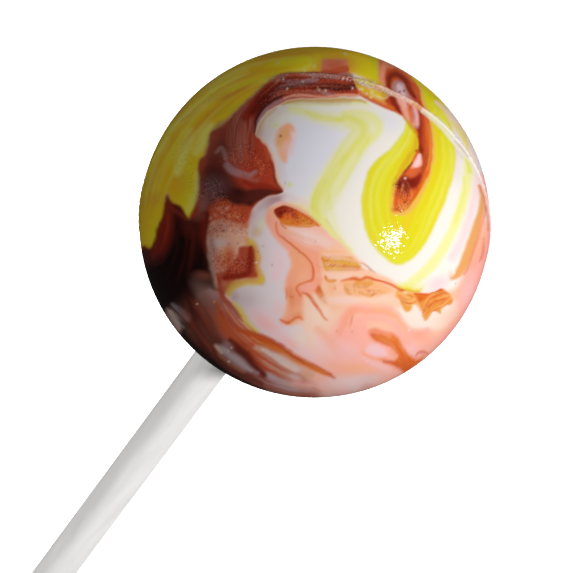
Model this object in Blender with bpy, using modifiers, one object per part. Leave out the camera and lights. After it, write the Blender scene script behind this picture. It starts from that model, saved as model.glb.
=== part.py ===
"""Ball lollipop lying on its side: a ball of hard candy on a rolled-paper stick.

Metres, +Z up. The origin is the centre of the small flat that the ball rests on. The stick
runs towards +X and dips until the rim of its far end touches the same surface.
"""

import math

import bmesh
import bpy
from mathutils import Matrix, Vector

# Candy ball
BALL_DIAMETER = 0.035
REST_SPOT_DIAMETER = 0.0048
SEAM_HEIGHT = 0.00012
SEAM_HALF_WIDTH = 0.00035
MOULD_ROLL = math.radians(16.6)  # of the mould's parting plane, about the stick

# Paper stick, and how far it is set into the candy
STICK_DIAMETER = 0.004
STICK_LENGTH = 0.1
SET_IN = 0.024
STICK_END_RADIUS = 0.0003
FIT_GAP = 0.0003

# How finely round shapes are faceted
BALL_STEPS = 72
BALL_ROWS = 36
STICK_SIDES = 32
BEVEL_SEGMENTS = 3

CANDY_COLOUR = (0.85, 0.62, 0.5, 1.0)
PAPER_COLOUR = (0.86, 0.85, 0.82, 1.0)
CANDY_ROUGHNESS = 0.12
PAPER_ROUGHNESS = 0.7

BALL_RADIUS = BALL_DIAMETER / 2
STICK_RADIUS = STICK_DIAMETER / 2
MERGE_DISTANCE = 0.00001


def clear_scene():
    for obj in list(bpy.data.objects):
        bpy.data.objects.remove(obj, do_unlink=True)


def new_collection(name):
    collection = bpy.data.collections.new(name)
    bpy.context.scene.collection.children.link(collection)
    return collection


def new_material(name, colour, roughness):
    material = bpy.data.materials.new(name)
    material.use_nodes = True
    shader = material.node_tree.nodes["Principled BSDF"]
    shader.inputs["Base Color"].default_value = colour
    shader.inputs["Roughness"].default_value = roughness
    shader.inputs["Metallic"].default_value = 0.0
    return material


def new_object(name, mesh, collection, parent):
    obj = bpy.data.objects.new(name, mesh)
    collection.objects.link(obj)
    obj.parent = parent
    return obj


def ball_centre_height():
    """The flat cuts the ball where its own rim lies, so the centre is a little under one radius up."""
    return math.sqrt(BALL_RADIUS**2 - (REST_SPOT_DIAMETER / 2) ** 2)


def stick_reach():
    """From the ball's centre to the stick's far end."""
    return BALL_RADIUS - SET_IN + STICK_LENGTH


def stick_dip():
    """The angle below the horizontal at which the rounded rim of the far end touches the surface.

    The rim is a ring of tube radius f at (reach - f) along the axis and (radius - f) off it, so
    the dip solves (reach - f) sin(dip) + (radius - f) cos(dip) = height - f.
    """
    along = stick_reach() - STICK_END_RADIUS
    across = STICK_RADIUS - STICK_END_RADIUS
    drop = ball_centre_height() - STICK_END_RADIUS
    return math.asin(drop / math.hypot(along, across)) - math.atan2(across, along)


def ball_profile():
    """Points down the ball's outer side, in X and Z: a half circle with the mould's seam at its middle."""
    seam_angles = [k * SEAM_HALF_WIDTH / BALL_RADIUS / 2 for k in range(-2, 3)]
    row_angles = [math.pi * (k / BALL_ROWS - 0.5) for k in range(BALL_ROWS + 1)]
    clear = 3 * SEAM_HALF_WIDTH / BALL_RADIUS / 2
    angles = [a for a in row_angles if abs(a) > clear] + seam_angles
    points = []
    for angle in sorted(angles, reverse=True):
        across_seam = angle * BALL_RADIUS / SEAM_HALF_WIDTH
        ridge = SEAM_HEIGHT * max(0.0, 1 - across_seam**2)
        radius = BALL_RADIUS + ridge
        on_axis = math.isclose(abs(angle), math.pi / 2)
        points.append((0.0 if on_axis else radius * math.cos(angle), radius * math.sin(angle)))
    return points


def open_profile_mesh(name, points):
    mesh = bpy.data.meshes.new(name)
    edges = [(k, k + 1) for k in range(len(points) - 1)]
    mesh.from_pydata([(x, 0.0, z) for x, z in points], edges, [])
    return mesh


def cylinder_mesh(name, radius, start, end, sides):
    """A capped cylinder along local X, from start to end."""
    mesh = bpy.data.meshes.new(name)
    bm = bmesh.new()
    place = Matrix.Translation(((start + end) / 2, 0, 0)) @ Matrix.Rotation(math.pi / 2, 4, "Y")
    bmesh.ops.create_cone(
        bm, cap_ends=True, segments=sides, radius1=radius, radius2=radius, depth=end - start, matrix=place
    )
    bm.to_mesh(mesh)
    bm.free()
    return mesh


def box_mesh(name, size, centre):
    mesh = bpy.data.meshes.new(name)
    bm = bmesh.new()
    place = Matrix.Translation(centre) @ Matrix.Diagonal((*size, 1.0))
    bmesh.ops.create_cube(bm, size=1.0, matrix=place)
    bm.to_mesh(mesh)
    bm.free()
    return mesh


def hide_as_cutter(obj):
    obj.hide_render = True
    obj.display_type = "WIRE"


def cut(obj, cutter):
    modifier = obj.modifiers.new("cut_" + cutter.name, "BOOLEAN")
    modifier.operation = "DIFFERENCE"
    modifier.object = cutter
    modifier.solver = "EXACT"


def build_tilt_frame():
    """An empty at the ball's centre whose local X is the stick's axis."""
    frame = bpy.data.objects.new("stick_axis", None)
    bpy.context.scene.collection.objects.link(frame)
    frame.location = (0, 0, ball_centre_height())
    frame.rotation_euler = (0, stick_dip(), 0)
    return frame


def build_cutters(collection, frame):
    """The socket that holds the stick, and a block whose top face is the resting surface."""
    socket_end = BALL_RADIUS - SET_IN - FIT_GAP
    socket = cylinder_mesh("stick_socket", STICK_RADIUS + FIT_GAP, socket_end, 2 * BALL_RADIUS, STICK_SIDES)
    socket = new_object("stick_socket", socket, collection, frame)

    depth = BALL_RADIUS / 2
    block = box_mesh("rest_block", (BALL_DIAMETER, BALL_DIAMETER, depth), Vector((0, 0, -depth / 2)))
    block = new_object("rest_block", block, collection, None)

    for cutter in (socket, block):
        hide_as_cutter(cutter)
    return socket, block


def build_candy_ball(collection, frame, cutters, material):
    """A ball turned about the mould's axis, so its raised seam lies in a plane that holds the stick."""
    ball = new_object("candy_ball", open_profile_mesh("candy_ball", ball_profile()), collection, frame)
    ball.rotation_euler = (-MOULD_ROLL, 0, 0)
    ball.data.materials.append(material)

    turn = ball.modifiers.new("turn", "SCREW")
    turn.axis = "Z"
    turn.steps = BALL_STEPS
    turn.render_steps = BALL_STEPS
    turn.use_merge_vertices = True
    turn.merge_threshold = MERGE_DISTANCE
    turn.use_smooth_shade = True

    for cutter in cutters:
        cut(ball, cutter)
    return ball


def build_stick(collection, frame, material):
    """A solid rolled-paper stick with softly rounded ends."""
    start = BALL_RADIUS - SET_IN
    mesh = cylinder_mesh("stick", STICK_RADIUS, start, start + STICK_LENGTH, STICK_SIDES)
    mesh.shade_smooth()
    stick = new_object("stick", mesh, collection, frame)
    stick.data.materials.append(material)

    rim = stick.modifiers.new("rounded_ends", "BEVEL")
    rim.width = STICK_END_RADIUS
    rim.segments = BEVEL_SEGMENTS
    rim.limit_method = "ANGLE"
    rim.angle_limit = math.radians(60)
    return stick


def build_lollipop():
    clear_scene()
    parts = new_collection("lollipop")
    helpers = new_collection("cutters")
    candy = new_material("candy", CANDY_COLOUR, CANDY_ROUGHNESS)
    paper = new_material("paper", PAPER_COLOUR, PAPER_ROUGHNESS)

    frame = build_tilt_frame()
    cutters = build_cutters(helpers, frame)
    build_candy_ball(parts, frame, cutters, candy)
    build_stick(parts, frame, paper)


build_lollipop()
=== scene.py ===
import math

import bpy
import numpy as np
from mathutils import Matrix, Vector


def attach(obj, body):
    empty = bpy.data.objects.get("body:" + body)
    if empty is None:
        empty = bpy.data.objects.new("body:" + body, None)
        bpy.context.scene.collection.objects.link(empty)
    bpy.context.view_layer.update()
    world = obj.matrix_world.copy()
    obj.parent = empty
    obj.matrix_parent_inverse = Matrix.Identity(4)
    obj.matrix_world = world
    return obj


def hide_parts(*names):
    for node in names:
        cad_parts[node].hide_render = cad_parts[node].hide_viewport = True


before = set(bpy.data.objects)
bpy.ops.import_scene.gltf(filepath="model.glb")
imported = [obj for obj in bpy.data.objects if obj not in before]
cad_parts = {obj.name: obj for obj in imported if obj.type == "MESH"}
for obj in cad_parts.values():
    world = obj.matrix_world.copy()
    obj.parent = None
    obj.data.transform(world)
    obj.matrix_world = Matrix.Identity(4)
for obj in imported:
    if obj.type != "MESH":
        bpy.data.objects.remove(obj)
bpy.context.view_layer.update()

# Sizes that the candy ball and its stick share with the model, in metres.
lolly = {
    "ballRadius": 0.0175,
    "restSpotRadius": 0.0024,
    "stickRadius": 0.002,
    "stickLength": 0.1,
    "setIn": 0.024,
    "stickEndRadius": 0.0003,
}
ballHeight = math.sqrt(lolly["ballRadius"] ** 2 - lolly["restSpotRadius"] ** 2)
ballCentre = np.array([0, 0, ballHeight])
stickStart = lolly["ballRadius"] - lolly["setIn"]  # both from the ball's centre, along the stick
stickEnd = stickStart + lolly["stickLength"]

# The stick dips until the rounded rim of its far end touches the floor.
rimAlong = stickEnd - lolly["stickEndRadius"]
rimAcross = lolly["stickRadius"] - lolly["stickEndRadius"]
rimDrop = ballHeight - lolly["stickEndRadius"]
stickDip = math.asin(rimDrop / math.hypot(rimAlong, rimAcross)) - math.atan2(rimAcross, rimAlong)
alongStick = np.array([math.cos(stickDip), 0, -math.sin(stickDip)])
aboveStick = np.array([math.sin(stickDip), 0, math.cos(stickDip)])
besideStick = np.array([0, 1.0, 0])

# How the photo was taken. Picture places are in its own pixels, from its top left corner, y down.
shot = {
    "size": 573,
    "ballSpot": (314.5, 222.5),  # where the ball's centre is in the picture
    "ballWide": 175.8,  # its radius there
    "lean": math.radians(28.8),  # how far the line of sight leans back from square to the stick
    "stickTurn": math.radians(233.37),  # which way the stick points in the picture, from right, anticlockwise
    "distance": 16.0,  # from the ball's centre, in ball radii
    "sensorWide": 36,
    "clip": (0.01, 20),
}
towardCamera = -math.sin(shot["lean"]) * alongStick + math.cos(shot["lean"]) * aboveStick
stickAcross = math.cos(shot["lean"]) * alongStick + math.sin(shot["lean"]) * aboveStick
pictureRight = math.cos(shot["stickTurn"]) * stickAcross - math.sin(shot["stickTurn"]) * besideStick
pictureUp = math.sin(shot["stickTurn"]) * stickAcross + math.cos(shot["stickTurn"]) * besideStick
# a sphere's outline is a little wider than the cross cut through its centre
pictureScale = shot["ballWide"] * math.sqrt(shot["distance"] ** 2 - 1)


def inPicture(direction):
    # perspective: places across the picture shrink with depth; direction is from the ball's centre, in radii
    depth = shot["distance"] - direction @ towardCamera
    x = shot["ballSpot"][0] + pictureScale * (direction @ pictureRight) / depth
    y = shot["ballSpot"][1] - pictureScale * (direction @ pictureUp) / depth
    return x, y


def unit(v):
    v = np.asarray(v, float)
    return v / np.linalg.norm(v)


def placeCamera():
    radius = lolly["ballRadius"]
    middle = shot["size"] / 2
    eye = ballCentre + shot["distance"] * radius * towardCamera
    offX, offY = shot["ballSpot"][0] - middle, middle - shot["ballSpot"][1]
    # the camera turns so that the ball's centre lands off the middle of the picture
    back = unit(pictureScale * towardCamera + offX * pictureRight + offY * pictureUp)
    up = unit(pictureUp - (pictureUp @ back) * back)
    right = np.cross(up, back)
    camera = bpy.data.objects.new("photoCamera", bpy.data.cameras.new("photoCamera"))
    bpy.context.scene.collection.objects.link(camera)
    turn = Matrix([[right[k], up[k], back[k]] for k in range(3)]).to_4x4()
    camera.matrix_world = Matrix.Translation(Vector(eye)) @ turn
    camera.data.sensor_width = shot["sensorWide"]
    camera.data.lens = shot["sensorWide"] * pictureScale / shot["size"]
    camera.data.clip_start, camera.data.clip_end = shot["clip"]
    bpy.context.scene.camera = camera
    print("camera: elevation", round(math.degrees(math.asin(towardCamera[2])), 1), "degrees")


# The ball's surface, and the mould seam round it.
ballMake = {
    "mouldRoll": math.radians(16.6),  # of the seam's plane, about the stick
    "seamHeight": 0.00012,
    "seamHalfWidth": 0.00035,
    "insideBy": 0.00002,  # the skin lies this far under the model's, whose flat facets cut inside a true ball
    "seamOffset": math.radians(2.7),  # the two halves of the mould don't meet quite at the ball's middle
    "frontSteps": 280,  # squares along each side of the grid on the shown side
    "backSteps": 140,
    "frontReach": math.radians(78),  # the two grids meet here, from the line of sight
    "collarRise": 0.0002,  # of the candy round the stick
    "collarSpread": 0.0006,
}
mouldAxis = math.sin(ballMake["mouldRoll"]) * besideStick + math.cos(ballMake["mouldRoll"]) * aboveStick


def domeGrid(steps, axis, reach, fineMiddle):
    # A square grid laid on a dome: squares round the grid's middle become circles round the axis. The larger of
    # |u| and |v| gives the angle from the axis; the smaller, as a share of it, the angle round it. With
    # fineMiddle the sine of the first angle grows evenly, and otherwise the angle itself.
    u, v = np.meshgrid(np.linspace(-1, 1, steps + 1), np.linspace(-1, 1, steps + 1), indexing="ij")
    wide = np.abs(u) >= np.abs(v)
    big, small = np.where(wide, u, v), np.where(wide, v, u)
    share = np.pi / 4 * small / np.where(big == 0, 1, big)
    around = np.where(wide, share, np.pi / 2 - share) + np.where(big < 0, np.pi, 0)
    down = np.arcsin(np.abs(big) * math.sin(reach)) if fineMiddle else np.abs(big) * reach
    ring = np.cos(around)[..., None] * pictureRight + np.sin(around)[..., None] * pictureUp
    return (np.cos(down)[..., None] * axis + np.sin(down)[..., None] * ring).reshape(-1, 3)


def gridRim(steps):
    # the grid's outer points in order round its axis, from the same side on every grid
    k = np.arange(steps + 1)
    index = k[:, None] * (steps + 1) + k[None, :]
    rim = np.concatenate([index[steps, :-1], index[::-1, steps][:-1], index[0, ::-1][:-1], index[:-1, 0]])
    return np.roll(rim, -steps // 2)


def gridFaces(steps):
    k = np.arange(steps)
    a = (k[:, None] * (steps + 1) + k[None, :]).ravel()
    b, c, d = a + steps + 1, a + steps + 2, a + 1
    return np.concatenate([np.stack([a, b, c], 1), np.stack([a, c, d], 1)])


def stripFaces(coarse, fine):
    # three triangles between each coarse edge and the two fine edges along it
    first, middle, last = fine[::2], fine[1::2], np.roll(fine[::2], -1)
    following = np.roll(coarse, -1)
    return np.concatenate([np.stack([coarse, middle, first], 1), np.stack([coarse, following, middle], 1),
                           np.stack([following, last, middle], 1)])


def facingOut(points, faces, middles):
    # turns round each face that looks towards its middle
    corners = points[faces]
    across = np.cross(corners[:, 1] - corners[:, 0], corners[:, 2] - corners[:, 0])
    inward = np.einsum("ij,ij->i", across, corners.mean(1) - middles) < 0
    return np.where(inward[:, None], faces[:, ::-1], faces)


def ballSurface():
    radius, reach = lolly["ballRadius"] - ballMake["insideBy"], ballMake["frontReach"]
    front = domeGrid(ballMake["frontSteps"], towardCamera, reach, True)
    back = domeGrid(ballMake["backSteps"], -towardCamera, math.pi - reach, False)
    directions = np.concatenate([front, back])
    faces = np.concatenate([gridFaces(ballMake["frontSteps"]), gridFaces(ballMake["backSteps"]) + len(front),
                            stripFaces(gridRim(ballMake["backSteps"]) + len(front), gridRim(ballMake["frontSteps"]))])
    # the seam is a low arch, height times (1 - x^2)^2, where x is the distance from the mould's plane as a
    # share of the arch's half width
    offSeam = (np.arcsin(np.clip(directions @ mouldAxis, -1, 1)) - ballMake["seamOffset"]) * radius
    x = np.clip(offSeam / ballMake["seamHalfWidth"], -1, 1)
    lift = ballMake["seamHeight"] * (1 - x**2) ** 2
    # round the stick the candy rises, less and less with the distance from it: rise times e^(-gap / spread)
    offAxis = directions - (directions @ alongStick)[:, None] * alongStick
    away = np.linalg.norm(offAxis, axis=1)
    gap = np.maximum(0, away * radius - lolly["stickRadius"])
    collar = np.where(directions @ alongStick > 0, ballMake["collarRise"] * np.exp(-gap / ballMake["collarSpread"]), 0)
    normals = directions + (collar / ballMake["collarSpread"] / np.maximum(away, 1e-6))[:, None] * offAxis
    points = ballCentre + (radius + lift + collar)[:, None] * directions
    normals[points[:, 2] <= 0] = (0, 0, -1)
    points[:, 2] = np.maximum(points[:, 2], 0)  # the rest spot is flat
    return points, facingOut(points, faces, ballCentre), directions, normals, offSeam


def meshFrom(name, points, faces, normals=None):
    mesh = bpy.data.meshes.new(name)
    mesh.from_pydata(points.tolist(), [], faces.tolist())
    mesh.shade_smooth()
    if normals is not None:
        mesh.normals_split_custom_set_from_vertices(normals / np.linalg.norm(normals, axis=1)[:, None])
    piece = bpy.data.objects.new(name, mesh)
    bpy.context.scene.collection.objects.link(piece)
    return piece


def storeColour(piece, name, colour):
    rows = np.ones((len(colour), 4), np.float32)
    rows[:, :3] = colour
    piece.data.attributes.new(name, "FLOAT_COLOR", "POINT").data.foreach_set("color", rows.ravel())


def storeValue(piece, name, value):
    piece.data.attributes.new(name, "FLOAT", "POINT").data.foreach_set("value", np.asarray(value, np.float32))


# The pigments, as they look in full light on a screen. The lamp and the room together give fullLight times white.
fullLight = 1.35
pigments = {
    "milk": (1.05, 1.02, 0.98), "cream": (1.06, 0.98, 0.92), "lavender": (1.01, 0.94, 0.95),
    "pearl": (0.99, 0.98, 1.02),
    "dove": (0.95, 0.86, 0.86), "mauve": (0.80, 0.60, 0.61), "lilacPink": (1.07, 0.89, 0.91),
    "paleLemon": (1.02, 1.01, 0.60), "lime": (0.97, 0.96, 0.22), "lemon": (0.97, 0.93, 0.12),
    "brightLemon": (1.0, 0.98, 0.30), "gold": (1.0, 0.89, 0.17), "oldGold": (0.92, 0.68, 0.15),
    "olive": (1.1, 0.92, 0.18), "oliveGreen": (1.08, 1.03, 0.2), "paleOlive": (1.1, 1.08, 0.54),
    "bronze": (1.08, 0.84, 0.14), "amber": (1.0, 0.67, 0.29), "honey": (1.03, 0.75, 0.42),
    "apricot": (1.08, 0.78, 0.53), "peach": (1.09, 0.85, 0.71), "salmon": (1.10, 0.73, 0.59),
    "rose": (1.12, 0.77, 0.71), "shell": (1.09, 0.94, 0.85), "tangerine": (1.0, 0.47, 0.17),
    "burntOrange": (0.92, 0.39, 0.14), "rust": (0.92, 0.42, 0.26), "brick": (0.80, 0.29, 0.18),
    "oxblood": (0.64, 0.17, 0.11), "maroon": (0.50, 0.15, 0.10), "cocoa": (0.78, 0.43, 0.36),
    "umber": (0.38, 0.16, 0.14), "soot": (0.12, 0.07, 0.07), "ash": (0.78, 0.57, 0.52),
    "beige": (1.0, 0.74, 0.63),
}


# The points being painted: their places in the picture, colours, named zones, frost and grain.
canvas = {}


def freshCanvas(x, y):
    blank = {"colour": np.ones((len(x), 3)), "frost": np.zeros(len(x)), "grain": np.zeros(len(x))}
    canvas.update(x=x, y=y, zones={}, **blank)


def toLinear(pigment):
    # the screen's curve undone
    c = np.array(pigments[pigment])
    return np.where(c <= 0.04045, c / 12.92, ((c + 0.055) / 1.055) ** 2.4) / fullLight


def ease(low, high, value):
    t = np.clip((value - low) / (high - low), 0, 1)
    return t * t * (3 - 2 * t)


def latticeNoise(points, seed, size=64):
    # random values on the corners of a cubic lattice, blended smoothly between the eight round each point
    table = np.random.default_rng(seed).random((size, size, size)).astype(np.float32)
    base = np.floor(points).astype(int)
    f = points - base
    f = f * f * (3 - 2 * f)
    total = 0
    for i, j, k in np.ndindex(2, 2, 2):
        weight = np.abs(1 - i - f[:, 0]) * np.abs(1 - j - f[:, 1]) * np.abs(1 - k - f[:, 2])
        total = total + weight * table[(base[:, 0] + i) % size, (base[:, 1] + j) % size, (base[:, 2] + k) % size]
    return total


def curveThrough(points, closed=False, steps=6):
    # Catmull-Rom: between two points, a cubic whose slope at each is half the step from its neighbours
    p = np.asarray(points, float)
    p = np.vstack([p[-1:], p, p[:2]]) if closed else np.vstack([2 * p[0] - p[1], p, 2 * p[-1] - p[-2]])
    t = np.linspace(0, 1, steps, endpoint=False)[:, None, None]
    a, b, c, d = p[:-3], p[1:-2], p[2:-1], p[3:]
    q = 0.5 * (2 * b + (c - a) * t + (2 * a - 5 * b + 4 * c - d) * t**2 + (3 * b - a - 3 * c + d) * t**3)
    return np.vstack([q.transpose(1, 0, 2).reshape(-1, p.shape[1]), p[1:2] if closed else p[-2:-1]])


def nearTo(path, pad):
    low, high = path[:, :2].min(0) - pad, path[:, :2].max(0) + pad
    x, y = canvas["x"], canvas["y"]
    return np.nonzero((x > low[0]) & (x < high[0]) & (y > low[1]) & (y < high[1]))[0]


def measureTo(path, spots):
    # the nearest stretch of a path: how far off it is, how far along, and on which side
    start, step = path[:-1, :2], path[1:, :2] - path[:-1, :2]
    length2 = np.maximum((step**2).sum(1), 1e-9)
    found = []
    for part in np.array_split(spots, len(spots) // 4000 + 1):  # a few at a time, to save memory
        dx = canvas["x"][part][:, None] - start[:, 0]
        dy = canvas["y"][part][:, None] - start[:, 1]
        t = np.clip((dx * step[:, 0] + dy * step[:, 1]) / length2, 0, 1)
        gap2 = (dx - t * step[:, 0]) ** 2 + (dy - t * step[:, 1]) ** 2
        best = gap2.argmin(1)
        row = np.arange(len(part))
        side = np.where(step[best, 0] * dy[row, best] - step[best, 1] * dx[row, best] < 0, -1.0, 1.0)
        found.append(np.stack([np.sqrt(gap2[row, best]), best + t[row, best], side]))
    return np.concatenate(found, axis=1)


def insideOf(path, spots):
    # a ray to the right from a point inside crosses the outline an odd number of times
    x, y = canvas["x"][spots][:, None], canvas["y"][spots][:, None]
    a, b = path[:-1], path[1:]
    rise = np.where(a[:, 1] == b[:, 1], 1e-9, b[:, 1] - a[:, 1])
    crossing = ((a[:, 1] > y) != (b[:, 1] > y)) & (x < a[:, 0] + (y - a[:, 1]) * (b[:, 0] - a[:, 0]) / rise)
    return crossing.sum(1) % 2 == 1


def mixIn(spots, colour, cover, within):
    if within:
        cover = cover * canvas["zones"][within][spots]
    canvas["colour"][spots] += (colour - canvas["colour"][spots]) * cover[:, None]


def pool(pigment, outline, edge=1.3, strength=1.0, within=None, name=None):
    # fills a closed smooth outline; cover eases from 0 to 1 over twice the edge width across the outline, and a
    # name makes it a zone that later strokes can stay within
    path = curveThrough(outline, closed=True)
    spots = nearTo(path, edge + 1)
    if not len(spots):
        return
    gap = measureTo(path, spots)[0]
    cover = ease(-edge, edge, np.where(insideOf(path, spots), gap, -gap)) * strength
    if name:
        canvas["zones"][name] = np.zeros(len(canvas["x"]))
        canvas["zones"][name][spots] = cover
    if pigment:
        mixIn(spots, toLinear(pigment), cover, within)


def drag(pigment, points, edge=1.0, strength=1.0, within=None):
    # a ribbon along points of (x, y, half width); the pigment is one name, or names at places across, -1 to 1
    path = curveThrough(points)
    widths = np.maximum(path[:, 2], 0.05)
    spots = nearTo(path, widths.max() + edge + 1)
    if not len(spots):
        return
    gap, along, side = measureTo(path, spots)
    half = np.interp(along, np.arange(len(widths)), widths)
    # a ribbon thinner than about a pixel is fainter too
    cover = (1 - ease(np.maximum(half - edge, 0), half + edge, gap)) * strength * np.minimum(1, (half + 0.2) / 0.9)
    if isinstance(pigment, str):
        colour = toLinear(pigment)
    else:
        places = [place for place, _ in pigment]
        tones = np.array([toLinear(name) for _, name in pigment])
        across = side * gap / half
        colour = np.stack([np.interp(across, places, tones[:, k]) for k in range(tones.shape[1])], 1)
    mixIn(spots, colour, cover, within)


def dab(pigment, x, y, length, width=None, turn=0, strength=1.0, within=None, hard=0.0):
    # a soft oval spot: full at its middle, gone at one to two times its half length and half width
    width = width or length
    spots = nearTo(np.array([[x, y]]), 2.1 * max(length, width))
    if not len(spots):
        return
    t = np.radians(turn)
    dx, dy = canvas["x"][spots] - x, canvas["y"][spots] - y
    u, v = dx * np.cos(t) + dy * np.sin(t), dy * np.cos(t) - dx * np.sin(t)
    cover = (1 - ease(hard, 2 - hard, np.hypot(u / length, v / width))) * strength
    mixIn(spots, toLinear(pigment), cover, within)


def dabs(within, *spots):
    # soft spots, each as pigment, x, y, half length, half width, turn and strength
    for spot in spots:
        dab(*spot, within)


def comb(tones, points, count, seed, strength=0.5, thick=0.9, wave=0.8, within=None):
    # fine hairs that run along a ribbon of points of (x, y, half width), each over its own part of the length
    path = curveThrough(points)
    spots = nearTo(path, path[:, 2].max() + 2)
    if not len(spots):
        return
    gap, along, side = measureTo(path, spots)
    half = np.interp(along, np.arange(len(path)), path[:, 2])
    chance = np.random.default_rng(seed)
    for k in range(count):
        place, start, reach, wide, phase = chance.random(5)
        run = len(path) * (0.3 + 0.6 * reach)
        first = (len(path) - 0.6 * run) * start - 0.2 * run
        off = side * gap - half * (2 * place - 1) - wave * np.sin(along / 7 + 6.3 * phase)
        length = ease(first, first + 0.3 * run, along) * (1 - ease(first + 0.6 * run, first + run, along))
        cover = np.exp(-((off / (thick * (0.6 + wide))) ** 2)) * length * strength
        mixIn(spots, toLinear(tones[k % len(tones)]), cover, within)


def specks(pigment, places, size=0.9, strength=0.9):
    for x, y in places:
        dab(pigment, x, y, size, strength=strength)


def rough(kind, points, strength=1.0, edge=3.0):
    # a ribbon of frost or grain along points of (x, y, half width)
    path = curveThrough(points)
    spots = nearTo(path, path[:, 2].max() + edge + 1)
    if not len(spots):
        return
    gap, along, _ = measureTo(path, spots)
    half = np.interp(along, np.arange(len(path)), path[:, 2])
    cover = (1 - ease(np.maximum(half - edge, 0), half + edge, gap)) * strength
    canvas[kind][spots] = np.maximum(canvas[kind][spots], cover)


def paintGrounds():
    pool("peach", [(120, 20), (520, 20), (520, 420), (120, 420)], edge=3)
    # right side, white and pink
    pool("milk", [(330, 60), (440, 60), (500, 120), (510, 230), (470, 275), (452, 290), (420, 292), (390, 283),
        (368, 275), (352, 262), (340, 250), (330, 238), (318, 215), (300, 190)], edge=4)
    pool("rose", [(478, 150), (500, 190), (505, 260), (470, 340), (420, 400), (400, 385), (430, 350), (452, 318),
        (462, 300), (462, 282), (470, 262), (481, 240), (488, 215), (484, 190), (478, 165)], edge=5)
    # lower part
    pool("cream", [(395, 292), (420, 300), (455, 300), (458, 316), (440, 328), (425, 330), (408, 326), (398, 312),
        (392, 300)], edge=4)
    pool("rose", [(300, 335), (330, 328), (352, 322), (372, 330), (400, 330), (430, 335), (440, 350), (400, 395),
        (340, 405), (300, 360)], edge=9, strength=0.7)
    dabs(None, ("lilacPink", 306, 352, 22, 12, 25, 0.6), ("dove", 345, 388, 26, 10, -8, 0.8),
        ("shell", 312, 338, 20, 14, 20, 0.8), ("shell", 318, 314, 16, 18, 0, 0.9), ("rose", 345, 340, 16, 14, 0, 0.5))
    # lower left browns
    pool("cocoa", [(206, 292), (222, 300), (236, 322), (262, 345), (290, 366), (310, 382), (320, 400), (280, 410),
        (200, 380), (170, 330), (190, 296)], edge=7)
    # under the line where the yellow meets the dark parts
    drag("oxblood", [(136, 258, 7), (154, 244, 8), (163, 222, 8), (168, 204, 5), (180, 210, 6), (190, 215, 5),
        (200, 190, 6), (204, 164, 6), (214, 136, 6), (236, 116, 7), (262, 92, 7), (290, 75, 5), (345, 76, 4)], 3)
    # the yellow zone over the top and left
    pool("olive", [(120, 262), (142, 246), (150, 249), (156, 238), (158, 228), (164, 214), (166, 198), (168, 194),
        (172, 202), (181, 206), (186, 214), (190, 219), (193, 212), (196, 204), (199, 196), (200, 184), (199, 170),
        (200, 160), (206, 155), (209, 145), (211, 134), (218, 129), (227, 123), (234, 115), (241, 107), (249, 100),
        (258, 93), (266, 84), (275, 79), (284, 73), (300, 72), (318, 71), (348, 73), (366, 79), (380, 82), (392, 76),
        (408, 84), (422, 96), (438, 104), (452, 116), (480, 110), (440, 20), (120, 20)], edge=2.8, name="yellow")


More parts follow.
